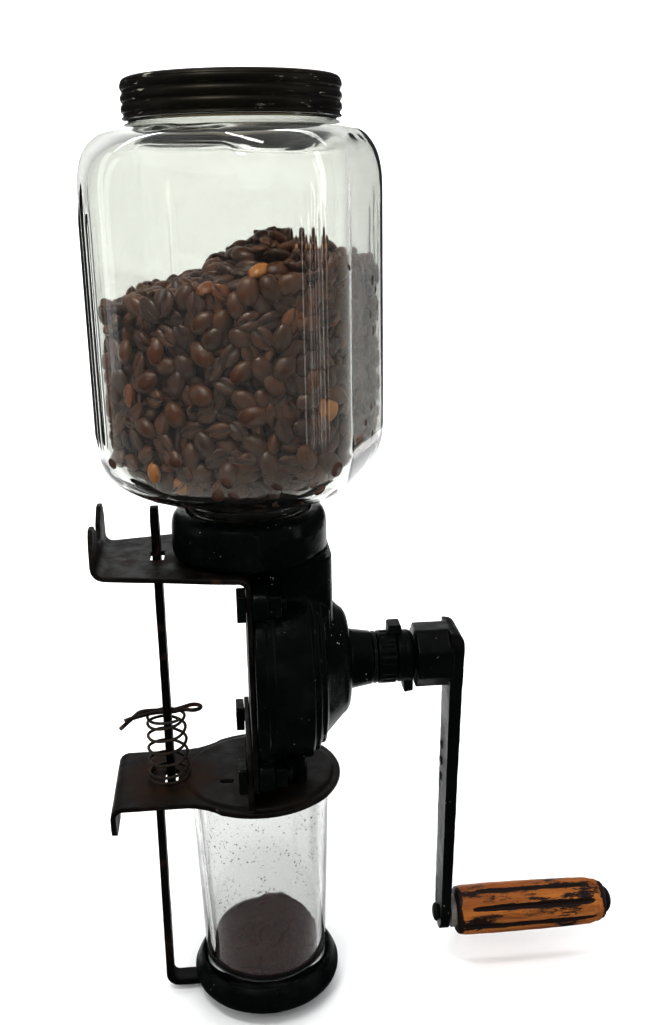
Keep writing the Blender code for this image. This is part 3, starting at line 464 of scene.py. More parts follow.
M_HOUSE = japan("japan_housing", wear=0.35, chips=0.8, gloss=0.17, dust=0.5)
M_NUT = japan("japan_nuts", wear=0.6, chips=0.4, gloss=0.28, worn_to=(0.05, 0.043, 0.036), dust=0.6)
M_CRANK = japan("japan_crank", tint=(0.0018, 0.0022, 0.0022), wear=0.4, chips=0.6, gloss=0.25, worn_to=(0.055, 0.052, 0.046), dust=0.5)
M_TRAY = japan("enamel_tray", wear=0.25, chips=0.3, gloss=0.22, dust=0.6)
M_BRACKET = old_steel("worn_bracket", amount=0.6)
M_LOWER = old_steel("worn_lower_bracket", amount=0.55, rust_at=(0.0272, -0.002, 0.03))
M_STRAP = old_steel("strap_steel", dark=(0.0022, 0.0021, 0.002), mid=(0.006, 0.005, 0.0042), rust=(0.03, 0.014, 0.0085), amount=0.4)
M_WIRE = old_steel("rusty_wire", dark=(0.008, 0.006, 0.005), mid=(0.03, 0.018, 0.012), rust=(0.055, 0.022, 0.012), amount=0.7, rough0=0.5)
M_STEEL = old_steel("bare_steel", dark=(0.12, 0.11, 0.10), mid=(0.25, 0.23, 0.21), rust=(0.09, 0.05, 0.03), amount=0.6, rough0=0.28)
M_BRONZE = old_steel("bronze_bush", dark=(0.16, 0.10, 0.04), mid=(0.34, 0.22, 0.09), rust=(0.08, 0.06, 0.03), amount=0.6, rough0=0.3)


# ------------------------------------------------------------------ stage and light
def cyclorama():
    z0 = CAD_BOX[0][2] - 0.0008
    m = Mat("backdrop_paper")
    m.set(base=m.mix(m.noise(3.0, 3), (0.90, 0.905, 0.91), (0.93, 0.93, 0.93)), rough=0.9, spec=0.1)
    back = [(0.03, z0), (1.1, z0)] + [(1.1 + 1.2 * math.sin(t), z0 + 1.2 * (1 - math.cos(t))) for t in np.linspace(0.05, math.pi / 2, 24)] + [(2.3, 6.0)]
    for name, prof, x0, x1 in (("backdrop", back, -0.6, 0.75), ("backdrop_left", back, -12.0, -0.6), ("backdrop_right", back, 0.75, 12.0), ("backdrop_apron", [(-4.0, z0), (0.03, z0)], -12.0, 12.0)):
        bm = bmesh.new()
        rows = [[bm.verts.new((x, y, z)) for y, z in prof] for x in (x0, x1)]
        for i in range(len(prof) - 1):
            bm.faces.new((rows[0][i], rows[1][i], rows[1][i + 1], rows[0][i + 1]))
        o = from_bm(name, bm)
        o.data.shade_smooth()
        o.data.materials.append(m.mat)
        o.visible_glossy = name == "backdrop"
    # the paper carries on up behind the camera, seen only by a camera on the far side
    bm = bmesh.new()
    rows = [[bm.verts.new((x, -3.9, z)) for z in (z0 - 0.01, 9.0)] for x in (-12.0, 12.0)]
    bm.faces.new((rows[0][0], rows[0][1], rows[1][1], rows[1][0]))
    o = from_bm("backdrop_front", bm)
    o.data.materials.append(m.mat)
    o.visible_glossy = o.visible_diffuse = o.visible_transmission = o.visible_shadow = False


cyclorama()
world = bpy.data.worlds.new("studio")
bpy.context.scene.world = world
world.use_nodes = True
wn = world.node_tree
bg = wn.nodes["Background"]
wc = wn.nodes.new("ShaderNodeTexCoord")
ws = wn.nodes.new("ShaderNodeSeparateXYZ")
wn.links.new(wc.outputs["Generated"], ws.inputs[0])
wr = wn.nodes.new("ShaderNodeMapRange")
wr.interpolation_type = "SMOOTHSTEP"
wr.inputs["From Min"].default_value = 0.15
wr.inputs["From Max"].default_value = 0.95
wr.inputs["To Min"].default_value = 0.10
wr.inputs["To Max"].default_value = 0.55
wn.links.new(ws.outputs["Z"], wr.inputs["Value"])
wn.links.new(wr.outputs[0], bg.inputs["Strength"])
bg.inputs["Color"].default_value = (0.95, 0.97, 1.0, 1)


def area(name, at, target, size, power, col=(1, 1, 1), size_y=None):
    d = bpy.data.lights.new(name, "AREA")
    d.shape = "RECTANGLE"
    d.size = size
    d.size_y = size_y or size
    d.energy = power
    d.color = col
    o = bpy.data.objects.new(name, d)
    bpy.context.scene.collection.objects.link(o)
    o.location = at
    o.rotation_euler = (Vector(target) - Vector(at)).to_track_quat("-Z", "Y").to_euler()
    return o


def sun(name, direction, strength, angle, col=(1, 1, 1)):
    d = bpy.data.lights.new(name, "SUN")
    d.energy = strength
    d.angle = math.radians(angle)
    d.color = col
    o = bpy.data.objects.new(name, d)
    bpy.context.scene.collection.objects.link(o)
    o.rotation_euler = Vector(direction).to_track_quat("-Z", "Y").to_euler()
    return o


for dirn, power, ang in (((0.30, 0.75, -0.60), 0.85, 60), ((-0.55, 0.55, -0.60), 0.45, 60), ((0.1, -0.3, -0.95), 0.75, 80)):
    sun("fill", dirn, power, ang).visible_glossy = False
sun("spark", (0.38, 0.62, -0.69), 0.28, 11, (1.0, 0.98, 0.95))
area("window_top", (-0.16, -0.42, 1.05), (0.04, 0, 0.12), 0.50, 5.5, (1.0, 0.99, 0.97), 0.10)
area("window_left", (-1.2, -0.10, 0.35), (0.06, 0, 0.0), 0.22, 1.5, (0.97, 0.99, 1.0), 1.0)
area("strip_right", (0.95, -0.30, 0.25), (0.1, 0, 0.0), 0.14, 1.2, (1, 1, 1), 0.9)
area("back_wash", (0.0, 0.7, 1.5), (0.0, 2.2, 0.2), 2.4, 34, (1, 1, 1), 0.8).visible_glossy = False

# ------------------------------------------------------------------ casting
LEFT = -1.7
parts = []
body_profile = soften([
    (0, 54.5), (12.1, 54.5), (12.7, 54.0), (13.0, 52.0), (14.2, 44.6), (15.0, 43.3), (19.6, 43.1), (22.4, 42.4), (24.6, 41.0), (26.0, 39.2),
    (33.6, 31.8), (35.0, 30.6), (37.6, 30.3), (38.4, 29.8), (38.5, 28.4), (38.1, 27.8), (40.8, 27.4), (41.6, 26.8), (41.7, 25.3), (41.3, 24.7),
    (43.8, 24.3), (44.6, 23.6), (44.8, 21.9), (45.3, 15.0), (45.5, 9.0), (45.5, 7.2), (46.3, 6.7), (46.5, 5.2), (46.2, 4.2), (47.4, 3.7), (47.8, 3.0), (47.8, -1.0), (47.3, LEFT), (0, LEFT)], 0.35, 2)
parts.append(lathe("c1", body_profile, 160, "X", (0, 0, SHAFT)))
parts.append(lathe("c2", soften([(0, 124.0), (28.3, 124.0), (28.35, 137.2), (30.4, 137.2), (32.4, 136.6), (34.0, 135.0), (34.9, 132.6), (35.2, 129.6), (35.2, 119.0), (34.4, 117.0), (32.5, 115.8), (0, 115.8)], 0.5, 3), 144, "Z", (AX, 0, 0)))
parts.append(block("c3", rounded([(LEFT, -22.5), (35.2, -20.5), (35.2, 20.5), (LEFT, 22.5)], 8.0), 70, 117, "XY"))
parts.append(block("c4", rounded([(LEFT, -18), (21.5, -17), (21.5, 17), (LEFT, 18)], 5.0), 3.6, 30, "XY"))
# the throat swells into the chamber
parts.append(lathe("c4b", [(0, 33.0), (22.0, 33.0), (26.0, 29.0), (28.5, 22.0), (28.5, LEFT), (0, LEFT)], 72, "X", (0, 0, SHAFT + 22)))
for y in (-31.0, 31.0):
    for dz in (-41.8, 41.8):
        parts.append(lathe("c5", [(0, 5.4), (7.6, 5.4), (8.0, 5.0), (8.0, LEFT), (0, LEFT)], 40, "X", (0, y, SHAFT + dz)))
parts.append(block("c6", [(0.7, -35.9), (1.9, -35.9), (2.3, -33), (0.3, -33)], 119, 134, "XY"))
house = cast(merged("mill_casting", parts), 0.5, 3, 0.05, 160)
piece(house, "mill", ["mill_housing"], M_HOUSE)

# ------------------------------------------------------------------ brackets, crank, strap: skins over the frame's own solids
up_b = cast(merged("upper_bracket_skin", copy_of("upper_bracket")), 0.4, 3, 0.16, 55)
piece(up_b, "mill", ["upper_bracket"], M_BRACKET)
lo_b = cast(merged("lower_bracket_skin", copy_of("lower_bracket")), 0.4, 3, 0.10, 60)
piece(lo_b, "mill", ["lower_bracket"], M_LOWER)
arm = cast(merged("crank_arm_skin", copy_of("crank_arm")), 0.42, 5, 0.12, 130)
piece(arm, "spindle", ["crank_arm"], M_CRANK)
strap = cast(merged("holder_strap_skin", copy_of("holder_strap")), 0.38, 3, 0.12, 80)
piece(strap, "holder", ["holder_strap"], M_STRAP)
for n in ["bolt_upper_front", "bolt_upper_rear", "bolt_lower_front", "bolt_lower_rear", "nut_upper_front", "nut_upper_rear", "nut_lower_front", "nut_lower_rear"]:
    o = cast(merged(n + "_skin", copy_of(n)), 0.3, 3, 0.12, 260)
    piece(o, "mill", [n], M_NUT)


# ------------------------------------------------------------------ adjusting nut and lock nut
def knurled(t, h, rr):
    if rr < 11.5 or h > 64.9 or h < 58.6:
        return 0
    return -0.55 * (0.5 - 0.5 * math.cos(22 * t)) ** 1.4


nut_prof = soften([(12.0, 56.8), (12.5, 57.2), (12.6, 58.4)], 0.2, 2) + [(12.6, h) for h in (58.6, 58.9, 60.0, 61.5, 63.0, 64.5, 64.9)] + [(12.6, 65.2), (12.2, 65.6), (6.2, 65.6), (6.2, 56.8)]
nut_a = lathe("adjusting_nut_skin", nut_prof[::1], 22 * 12, "X", (0, 0, SHAFT), knurled)
lug_a = block("lug_a", rounded([(62.0, SHAFT + 11.4), (65.2, SHAFT + 11.4), (65.2, SHAFT + 12.8), (69.0, SHAFT + 12.9), (68.2, SHAFT + 17.2), (62.2, SHAFT + 17.2)], 0.7), -4.2, 4.2, "XZ")
nut_a = cast(merged("adjusting_nut_skin", [nut_a, lug_a]), 0.28, 2, 0.06, 200)
piece(nut_a, "adjuster", ["adjusting_nut"], M_NUT)
lock = lathe("lock_a", soften([(10.4, 74.4), (11.6, 73.6), (12.3, 72.2), (12.4, 70.6), (12.1, 70.3), (12.4, 70.0), (12.4, 66.8), (11.8, 66.0), (6.2, 66.0), (6.2, 74.4)], 0.4, 3, closed=True), 96, "X", (0, 0, SHAFT))
lug_b = block("lug_b", rounded([(69.5, SHAFT - 10.6), (69.7, SHAFT - 17.4), (74.0, SHAFT - 16.9), (74.2, SHAFT - 10.6)], 0.8), -4.2, 4.2, "XZ")
lock = cast(merged("lock_nut_skin", [lock, lug_b]), 0.3, 2, 0.06, 200)
piece(lock, "locker", ["lock_nut"], M_NUT)


# ------------------------------------------------------------------ grip: eight worn flutes in wood, black paint left in the grooves
def grip_radius(x):
    keys = [(97.3, 10.9), (98.2, 12.0), (101, 12.5), (115, 12.8), (140, 12.6), (158, 12.2), (166, 11.9), (171, 10.9), (174.2, 9.6), (175.4, 8.4)]
    for (x0, r0), (x1, r1) in zip(keys, keys[1:]):
        if x <= x1:
            t = (x - x0) / (x1 - x0)
            return r0 + (r1 - r0) * (3 * t * t - 2 * t ** 3 if abs(r1 - r0) > 0.5 else t)
    return keys[-1][1]


SEGS = 240
rings, paint_v = [], []
xs = [97.3] + list(np.linspace(97.5, 175.2, 190)) + [175.4]
for x in xs:
    ring = []
    for k in range(SEGS):
        t = 2 * math.pi * k / SEGS
        R = grip_radius(x)
        ph = (t * 8 / (2 * math.pi)) % 1.0
        lane = int(t * 8 / (2 * math.pi))
        d = abs(ph - 0.5)                                     # 0 at the middle of a groove
        wav = 0.035 * noise.noise(Vector((x * 0.09, lane * 3.1, 0.3)))
        start, end = 100.0 + 9 * ((lane * 37) % 5) / 5, 172.5 - 7 * ((lane * 53) % 4) / 4
        length = min(1.0, max(0.0, (x - start) / 4.0)) * min(1.0, max(0.0, (end - x) / 5.0))
        groove = math.exp(-((d + wav) / 0.105) ** 2) * length
        flat = 0.45 * math.cos(2 * math.pi * (ph - 0.5)) * -1.0 * 0.5
        wear = 0.10 * noise.noise(Vector((x * 0.25, 9 * math.cos(t), 9 * math.sin(t)))) + 0.05 * noise.noise(Vector((x * 0.9, 30 * math.cos(t), 30 * math.sin(t))))
        rr = R - 0.25 + flat * 0.9 - 1.25 * groove + wear
        ring.append(W(x, rr * math.sin(t + 0.2), GRIP + rr * math.cos(t + 0.2)))
        dark = groove * 1.25 + 0.55 * max(0.0, 1 - d / 0.16) * length * (0.5 + noise.noise(Vector((x * 0.16, lane * 1.7, 5.0))))
        endd = max(0.0, 1 - (x - 97.3) / 2.6) + max(0.0, 1 - (175.4 - x) / 3.4)
        paint_v.append(min(1.0, max(0.0, dark + endd * 0.9)))
    rings.append(ring)
grip = loft("wooden_grip_fine", rings + [[W(175.4, 3.7 * math.sin(2 * math.pi * k / SEGS + 0.2), GRIP + 3.7 * math.cos(2 * math.pi * k / SEGS + 0.2)) for k in range(SEGS)],
                                        [W(97.3, 3.7 * math.sin(2 * math.pi * k / SEGS + 0.2), GRIP + 3.7 * math.cos(2 * math.pi * k / SEGS + 0.2)) for k in range(SEGS)]], loop=True)
att = grip.data.attributes.new("paint", "FLOAT", "POINT")
vals = np.zeros(len(grip.data.vertices))
vals[: min(len(paint_v), len(vals))] = paint_v[: len(vals)]
if len(grip.data.vertices) == len(paint_v) + 2 * SEGS:
    att.data.foreach_set("value", vals.astype(np.float32))
grip.data.shade_smooth()
m = Mat("grip_wood")
gr = m.noise(60, 6, 0.65, vec=m.map((0.10, 1, 1)), distort=0.3)
fine = m.noise(700, 5, 0.6, vec=m.map((0.08, 1, 1)))
patch = m.noise(48, 6, 0.7, vec=m.map((0.45, 1, 1)))
col = m.mix(m.ramp(gr, 0.35, 0.68), (0.40, 0.150, 0.028), (0.17, 0.050, 0.010))
col = m.mix(m.ramp(fine, 0.45, 0.75, 0, 0.55), col, (0.16, 0.055, 0.018))
col = m.mix(m.ramp(patch, 0.62, 0.72, 0, 0.75), col, (0.46, 0.24, 0.085))
mask = m.op("ADD", m.attr("paint"), m.op("MULTIPLY", m.op("SUBTRACT", m.noise(75, 7, 0.75, vec=m.map((0.28, 1, 1))), 0.5), 2.6))
mask = m.ramp(mask, 0.13, 0.24)
worn = m.ramp(m.noise(34, 6, 0.7, vec=m.map((0.3, 1, 1), loc=(3, 1, 2))), 0.55, 0.64, 0.0, 0.9)
mask = m.op("MAXIMUM", mask, m.op("MULTIPLY", worn, m.ramp(fine, 0.4, 0.6)))
col = m.mix(mask, col, (0.016, 0.008, 0.006))
b = m.bump(gr, 0.25, 0.0004)
b = m.bump(fine, 0.3, 0.0002, b)
b = m.bump(mask, 0.3, 0.0002, b)
m.set(base=col, rough=m.ramp(fine, 0.3, 0.7, 0.40, 0.60), normal=b, spec=0.25)
piece(grip, "grip", ["wooden_grip"], m.mat)

pin = lathe("grip_pin_skin", soften([(0, 179.6), (3.0, 179.3), (5.2, 178.2), (6.5, 176.8), (6.8, 175.8), (3.2, 175.8), (3.2, 94.0)], 0.5, 3) + [(3.2, 87.7), (4.4, 87.6), (4.6, 87.0), (4.0, 86.2), (2.4, 85.6), (0, 85.3)], 72, "X", (0, 0, GRIP))
smooth_angle(pin, 50)
piece(pin, "spindle", ["grip_pin"], M_CRANK)

# ------------------------------------------------------------------ tray
tray = lathe("cup_tray_fine", soften([(0, -107.9), (29.8, -107.9), (30.9, -106.9), (31.3, -104.0), (31.5, -99.3), (31.9, -98.5), (32.7, -98.4), (34.4, -100.6), (36.0, -104.2), (36.5, -105.8), (36.5, -107.6), (35.8, -109.8), (34.0, -111.0), (0, -111.0)], 0.5, 4), 160, "Z", (AX, 0, 0),
             lambda t, h, rr: 0.12 * math.sin(3 * t + 1) * (rr > 25) + 0.06 * math.sin(11 * t) * (rr > 25))
smooth_angle(tray, 60)
piece(tray, "holder", ["cup_tray"], M_TRAY)

# ------------------------------------------------------------------ cup and grounds
outer = soften([(32.3, -0.5), (33.2, -0.4), (33.8, -1.0), (33.9, -2.0), (33.5, -4.4), (33.2, -12.0), (30.0, -101.0), (29.6, -104.6), (28.4, -106.9), (26.6, -107.6), (0, -107.6)], 0.9, 4)
inner = soften([(0, -99.3), (22.6, -99.3), (25.6, -97.8), (26.9, -94.2), (30.9, -12.0), (31.3, -2.2), (32.3, -0.5)], 0.9, 4)
cup = lathe("cup_glass_fine", inner + outer[1:], 144, "Z", (AX, 0, 0))
smooth_angle(cup, 60)
piece(cup, "holder", ["cup_glass"], glass("cup_glass_look", tint=(0.83, 0.835, 0.825), haze=0.004, wavy=0.12, specks=0.85, haze_col=(0.30, 0.31, 0.30)))


def ground_top(x, y):
    d = math.hypot(x, y)
    h = -89.2 + 0.10 * x + 1.5 * math.sin(0.16 * x + 0.6) + 1.3 * math.cos(0.17 * y + x * 0.05) + 1.2 * (d / 27) ** 3
    h += 0.9 * noise.noise(Vector((x * 0.22, y * 0.22, 2.0))) + 0.5 * noise.noise(Vector((x * 0.7, y * 0.7, 5.0))) + 0.25 * noise.noise(Vector((x * 1.9, y * 1.9, 1.0)))
    return h


rings = []
NG = 150
for rr, h in [(0.01, -98.9), (22.4, -98.9), (25.2, -97.4), (26.4, -94.0)] + [(26.4 + 0.04 * (94.0 - q), -q) for q in (92, 90, 88.5)]:
    rings.append([W(AX + rr * math.cos(2 * math.pi * k / NG), rr * math.sin(2 * math.pi * k / NG), h) for k in range(NG)])
for rr in np.linspace(26.75, 0.01, 56):
    ring = []
    for k in range(NG):
        x, y = rr * math.cos(2 * math.pi * k / NG), rr * math.sin(2 * math.pi * k / NG)
        ring.append(W(AX + x, y, ground_top(x, y)))
    rings.append(ring)
gnd = loft("ground_coffee_fine", rings)
gnd.data.shade_smooth()
m = Mat("grounds")
g1, g2 = m.cells(900), m.noise(1400, 4, 0.7)
col = m.mix(m.ramp(g1, 0.15, 0.6), (0.060, 0.0135, 0.0085), (0.014, 0.0036, 0.0026))
col = m.mix(m.ramp(g2, 0.58, 0.7, 0, 0.7), col, (0.07, 0.028, 0.02))
b = m.bump(g1, 0.8, 0.0006)
b = m.bump(g2, 0.5, 0.0003, b)
piece(gnd, "holder", ["ground_coffee"], m.set(base=col, rough=m.ramp(g2, 0.3, 0.7, 0.8, 0.95), normal=b, spec=0.2))


# ------------------------------------------------------------------ split pin and spring
def tube(name, pts, rad, sides=14):
    cu = bpy.data.curves.new(name, "CURVE")
    cu.dimensions = "3D"
    cu.bevel_depth = rad * MM
    cu.bevel_resolution = max(2, sides // 4)
    cu.use_fill_caps = True
    sp = cu.splines.new("POLY")
    sp.points.add(len(pts) - 1)
    for q, s in zip(sp.points, pts):
        q.co = (*W(*s), 1)
    o = add(name, cu)
    o = applied(o)
    bm = bmesh.new()
    bm.from_mesh(o.data)
    bmesh.ops.remove_doubles(bm, verts=bm.verts, dist=1e-6)
    bmesh.ops.recalc_face_normals(bm, faces=bm.faces)
    bm.to_mesh(o.data)
    bm.free()
    return smooth_angle(o, 50)


def catmull(points, per=6):
    P = [Vector(q) for q in points]
    P = [2 * P[0] - P[1]] + P + [2 * P[-1] - P[-2]]
    out = []
    for i in range(1, len(P) - 2):
        for k in range(per):
            t = k / per
            out.append(0.5 * (2 * P[i] + (P[i + 1] - P[i - 1]) * t + (2 * P[i - 1] - 5 * P[i] + 4 * P[i + 1] - P[i + 2]) * t * t + (3 * P[i] - P[i - 1] - 3 * P[i + 1] + P[i + 2]) * t ** 3))
    return out + [P[-2]]


PZ, SX = 37.4, -43.5
eye = [(-31.2 + 3.6 * math.cos(math.radians(q)), 3.0 * math.sin(math.radians(q)), PZ + 1.1) for q in range(-130, 131, 26)]
leg_a = [(-63.6, -3.8, PZ - 2.0), (-58.0, -2.9, PZ - 0.9), (-51.0, -1.4, PZ - 0.1), (SX - 3, -1.05, PZ), (SX + 3, -1.05, PZ), (-37.0, -1.1, PZ + 0.7)]
leg_b = [(-37.0, 1.1, PZ + 0.7), (SX + 3, 1.05, PZ), (SX - 3, 1.05, PZ), (-51.0, 1.4, PZ), (-56.2, 2.2, PZ - 0.8), (-59.6, 2.7, PZ - 3.4), (-66.6, 3.4, PZ - 9.8)]
cot = tube("cotter_pin_fine", catmull(leg_a + eye + leg_b, 5), 0.95)
piece(cot, "holder", ["cotter_pin"], M_WIRE)
TURNS, SR, SW = 6.5, 9.3, 0.7
z0, z1 = 3.3 + SW - 0.6, PZ - 0.92 - 0.3 - SW
pts = []
for k in range(int(TURNS * 40) + 1):
    f = k / (TURNS * 40)
    turn = f * TURNS
    rise = min(turn, 1.0) * 1.55 + max(0.0, min(turn, TURNS - 1.0) - 1.0) * ((z1 - z0 - 3.1) / (TURNS - 2.0)) + max(0.0, turn - (TURNS - 1.0)) * 1.55
    q = 2 * math.pi * turn + 2.4
    rad = SR * (1.03 - 0.10 * f) + 0.15 * math.sin(5 * q)
    pts.append((SX - 0.9 + rad * math.cos(q), rad * math.sin(q), z0 + rise + 0.5 * math.sin(q) * (0.2 < f < 0.85)))
spring = tube("holder_spring_fine", pts, SW)
piece(spring, "mill", ["holder_spring"], M_WIRE)
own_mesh(spring)


# ------------------------------------------------------------------ lid
def lid_wobble(t, h, rr):
    return (0.10 * math.sin(2 * t + 0.4) + 0.05 * math.sin(7 * t)) * (rr > 43.95) * (1 if rr < 45.1 else 0.4)


LT, LB = 318.5, 302.6
lid_out = [(0, LT - 0.25), (30.0, LT - 0.25), (36.0, LT - 0.2), (40.6, LT), (42.6, LT - 0.1), (43.9, LT - 0.6), (44.8, LT - 1.7)]
for c in (3.4, 7.9, 12.0):
    lid_out += [(44.15 + 0.95 * math.cos(q), LT - c - 1.75 * math.sin(q)) for q in np.linspace(-1.35, 1.35, 10)]
lid_out += [(44.2, LT - 14.3), (44.25, LT - 15.0), (44.9, LT - 15.3), (45.0, LT - 15.7), (44.6, LB), (43.95, LB), (43.7, LT - 2.6), (43.0, LT - 1.6), (0, LT - 1.6)]
lid = lathe("jar_lid_fine", soften(lid_out, 0.25, 2), 200, "Z", (AX, 0, 0), lid_wobble)
smooth_angle(lid, 60)
m = Mat("lid_patina")
big = m.noise(30, 6, 0.65, distort=0.5)
fine = m.noise(500, 6, 0.7)
scr = m.noise(120, 5, 0.7, vec=m.map((1, 1, 6)))
col = m.mix(m.ramp(big, 0.38, 0.68), (0.021, 0.0165, 0.0095), (0.0095, 0.0075, 0.0050))
col = m.mix(m.ramp(fine, 0.5, 0.72, 0, 0.5), col, (0.034, 0.027, 0.016))
bright = m.op("MULTIPLY", m.ramp(scr, 0.60, 0.66), m.ramp(m.noise(26, 3, 0.6, vec=m.map(loc=(2, 5, 1))), 0.50, 0.60))
edge = m.ramp(m.op("ADD", m.edge(), m.op("MULTIPLY", m.op("SUBTRACT", fine, 0.5), 0.10)), 0.53, 0.585)
bright = m.op("MULTIPLY", bright, m.op("ADD", m.op("MULTIPLY", edge, 0.4), 0.60))
col = m.mix(m.op("MINIMUM", m.op("MULTIPLY", bright, 1.5), 1.0), col, (0.70, 0.68, 0.58))
col = m.mix(m.op("MULTIPLY", edge, 0.28), col, (0.13, 0.105, 0.065))
b = m.bump(fine, 0.2, 0.0002)
b = m.bump(m.noise(60, 3, 0.5), 0.25, 0.0008, b)
m.set(base=col, rough=m.ramp(big, 0.3, 0.7, 0.30, 0.52), metal=0.65, normal=b)
piece(lid, "lid", ["jar_lid"], m.mat)

# ------------------------------------------------------------------ jar
TURN = -math.radians(22.0)
CS = math.cos(TURN) + abs(math.sin(TURN))


def jar_r(half, corner, t):
    """Radius of the rounded square at angle t from its own axes."""
    rho = half - corner * CS
    c, s = abs(math.cos(t)), abs(math.sin(t))
    lo, hi = min(c, s), max(c, s)
    if lo * (corner + rho) < corner * hi:
        return (corner + rho) / hi
    q = corner * (c + s)
    return q + math.sqrt(max(0.0, q * q - 2 * corner * corner + rho * rho))


def spline_rows(rows, per):
    P = catmull(rows, per)
    return [(max(q[0], 1.0), max(q[1], 0.0), q[2]) for q in P]


JT, JB = 314.6, 124.5
sh = spline_rows([(42.6, 0, 301.4), (46.2, 2.0, 300.0), (54.8, 12.6, 297.0), (60.6, 20.4, 290.4), (63.0, 22.9, 282.4), (63.6, 23.5, 275.0)], 7)
wall = [(63.6, 23.5, z) for z in np.linspace(273, 173, 51)]
bot = spline_rows([(63.6, 23.5, 171.0), (62.5, 23.0, 163.6), (59.4, 20.2, 157.2), (53.6, 14.4, 151.6), (44.8, 7.0, 147.4), (35.0, 2.0, 145.2), (28.0, 0, 143.8)], 6)
neck_top = [(42.4, 0, JT), (42.4, 0, 309.0), (42.4, 0, 303.6), (42.9, 0, 303.0), (43.2, 0, 302.3), (42.9, 0, 301.7)]
neck_bot = []
for z in np.linspace(143.2, 126.0, 60):
    thread = 0.75 * max(0.0, math.cos(2 * math.pi * (z - 141.4) / 3.4)) ** 3 * (127 < z < 142.8)
    neck_bot.append((26.5 + thread, 0, z))
outer = neck_top + sh + wall + bot + neck_bot + [(26.0, 0, JB)]
isw = [(60.2, 22.6, z) for z in np.linspace(173, 274, 20)]
ib = spline_rows([(23.0, 0, 143.0), (25.0, 0, 147.2), (33.6, 2.0, 148.9), (43.2, 7.0, 151.2), (51.2, 13.8, 155.0), (56.4, 19.2, 160.2), (59.2, 21.8, 165.8), (60.1, 22.6, 171.8)], 5)
it = spline_rows([(60.1, 22.5, 275.4), (59.3, 21.6, 281.6), (57.0, 18.6, 288.4), (51.8, 11.4, 294.0), (44.2, 2.2, 297.0), (39.6, 0, 299.6), (38.7, 0, 302.6)], 5)
inner = [(22.8, 0, JB)] + ib + isw + it + [(38.6, 0, 308.0), (38.6, 0, JT)]
NJ = 432


def ribs(t, z):
    """Three pointed ribs up each corner, the middle one the tallest."""
    corner = (t - math.pi / 4) % (math.pi / 2)
    if corner > math.pi / 4:
        corner -= math.pi / 2
    s = corner * 64.0
    h = 0.0
    for k, top in ((-1, 272.0), (0, 280.0), (1, 272.0)):
        f = min(1.0, max(0.0, (top - z) / 8.0)) * min(1.0, max(0.0, (z - 171.0) / 6.0))
        h += f * math.exp(-((s - 4.5 * k) / (0.35 + 0.85 * f)) ** 2)
    return 0.8 * h


def jar_ring(half, corner, z, rib):
    out = []
    for k in range(NJ):
        t = 2 * math.pi * k / NJ
        rr = jar_r(half, corner, t) + (ribs(t, z) if rib else 0.0)
        out.append(W(AX + rr * math.cos(t + TURN), rr * math.sin(t + TURN), z))
    return out


jar = loft("hopper_jar_fine", [jar_ring(*q, rib=True) if 170 < q[2] < 284 else jar_ring(*q, rib=False) for q in outer] + [jar_ring(*q, rib=False) for q in inner], loop=True)
smooth_angle(jar, 60)
piece(jar, "jar", ["hopper_jar"], glass("jar_glass_look", tint=(0.755, 0.765, 0.73), haze=0.005, wavy=0.16, haze_col=(0.30, 0.31, 0.27)))


# ------------------------------------------------------------------ beans
def bean_template(nu=22, nv=14):
    vs = []
    for i in range(nv + 1):
        th = math.pi * i / nv
        for j in range(nu):
            ph = 2 * math.pi * j / nu
            x, y, z = math.cos(th), math.sin(th) * math.cos(ph), math.sin(th) * math.sin(ph)
            vs.append((x, y, z))
    fs = []
    for i in range(nv):
        for j in range(nu):
            jj = (j + 1) % nu
            fs.append((i * nu + j, i * nu + jj, (i + 1) * nu + jj, (i + 1) * nu + j))
    v = np.array(vs)
    x, y, z = v.T
    line = 0.10 * np.sin(2.6 * x)
    slot = np.exp(-((y - line) / 0.15) ** 2) * np.clip(1.15 - np.abs(x), 0, 1) ** 0.4
    zz = np.where(z > 0, z * 3.0, z * 1.75)
    zz = zz + np.where(z < 0.05, slot * 1.9, 0.0)
    out = np.c_[x * 5.6, y * (4.15 - 0.25 * x * x), zz]
    return out, fs, np.where(z < 0.05, slot, 0.0)


def inner_limit(z, margin):
    rows = [(23.0, 0, 140.0)] + [(h, c, q) for h, c, q in ib] + [(60.2, 22.6, 300.0)]
    for (h0, c0, q0), (h1, c1, q1) in zip(rows, rows[1:]):
        if z <= q1:
            t = (z - q0) / max(1e-6, q1 - q0)
            return h0 + (h1 - h0) * t - margin, max(0.0, c0 + (c1 - c0) * t - margin * 0.35)
    return 60.2 - margin, 22.6


def top_of(x, y):
    """Height of the heap, with its crown towards the crank side."""
    d = math.hypot(x - 15.0, (y + 8.0) * 0.8)
    h = 236.0 + 21.5 * math.exp(-(d / 33.0) ** 2) + 0.075 * x
    return h + 2.0 * noise.noise(Vector((x * 0.06, y * 0.06, 3.0)))


def bottom_of(x, y):
    d = math.hypot(x, y)
    if d < 20:
        return 127.0
    for (h0, c0, q0), (h1, c1, q1) in zip(ib, ib[1:]):
        if d <= h1:
            return q0 + (q1 - q0) * (d - h0) / max(1e-6, h1 - h0)
    return ib[-1][2]


def confine(P, margin=3.3):
    for i in range(len(P)):
        x, y, z = P[i]
        z = min(z, top_of(x, y) - 2.5)
        z = max(z, bottom_of(x, y) + margin + 0.4)
        t = math.atan2(y, x) - TURN
        half, corner = inner_limit(z, margin)
        lim = jar_r(half, corner, t)
        d = math.hypot(x, y)
        if d > lim:
            x, y = x * lim / d, y * lim / d
        P[i] = (x, y, z)
    return P


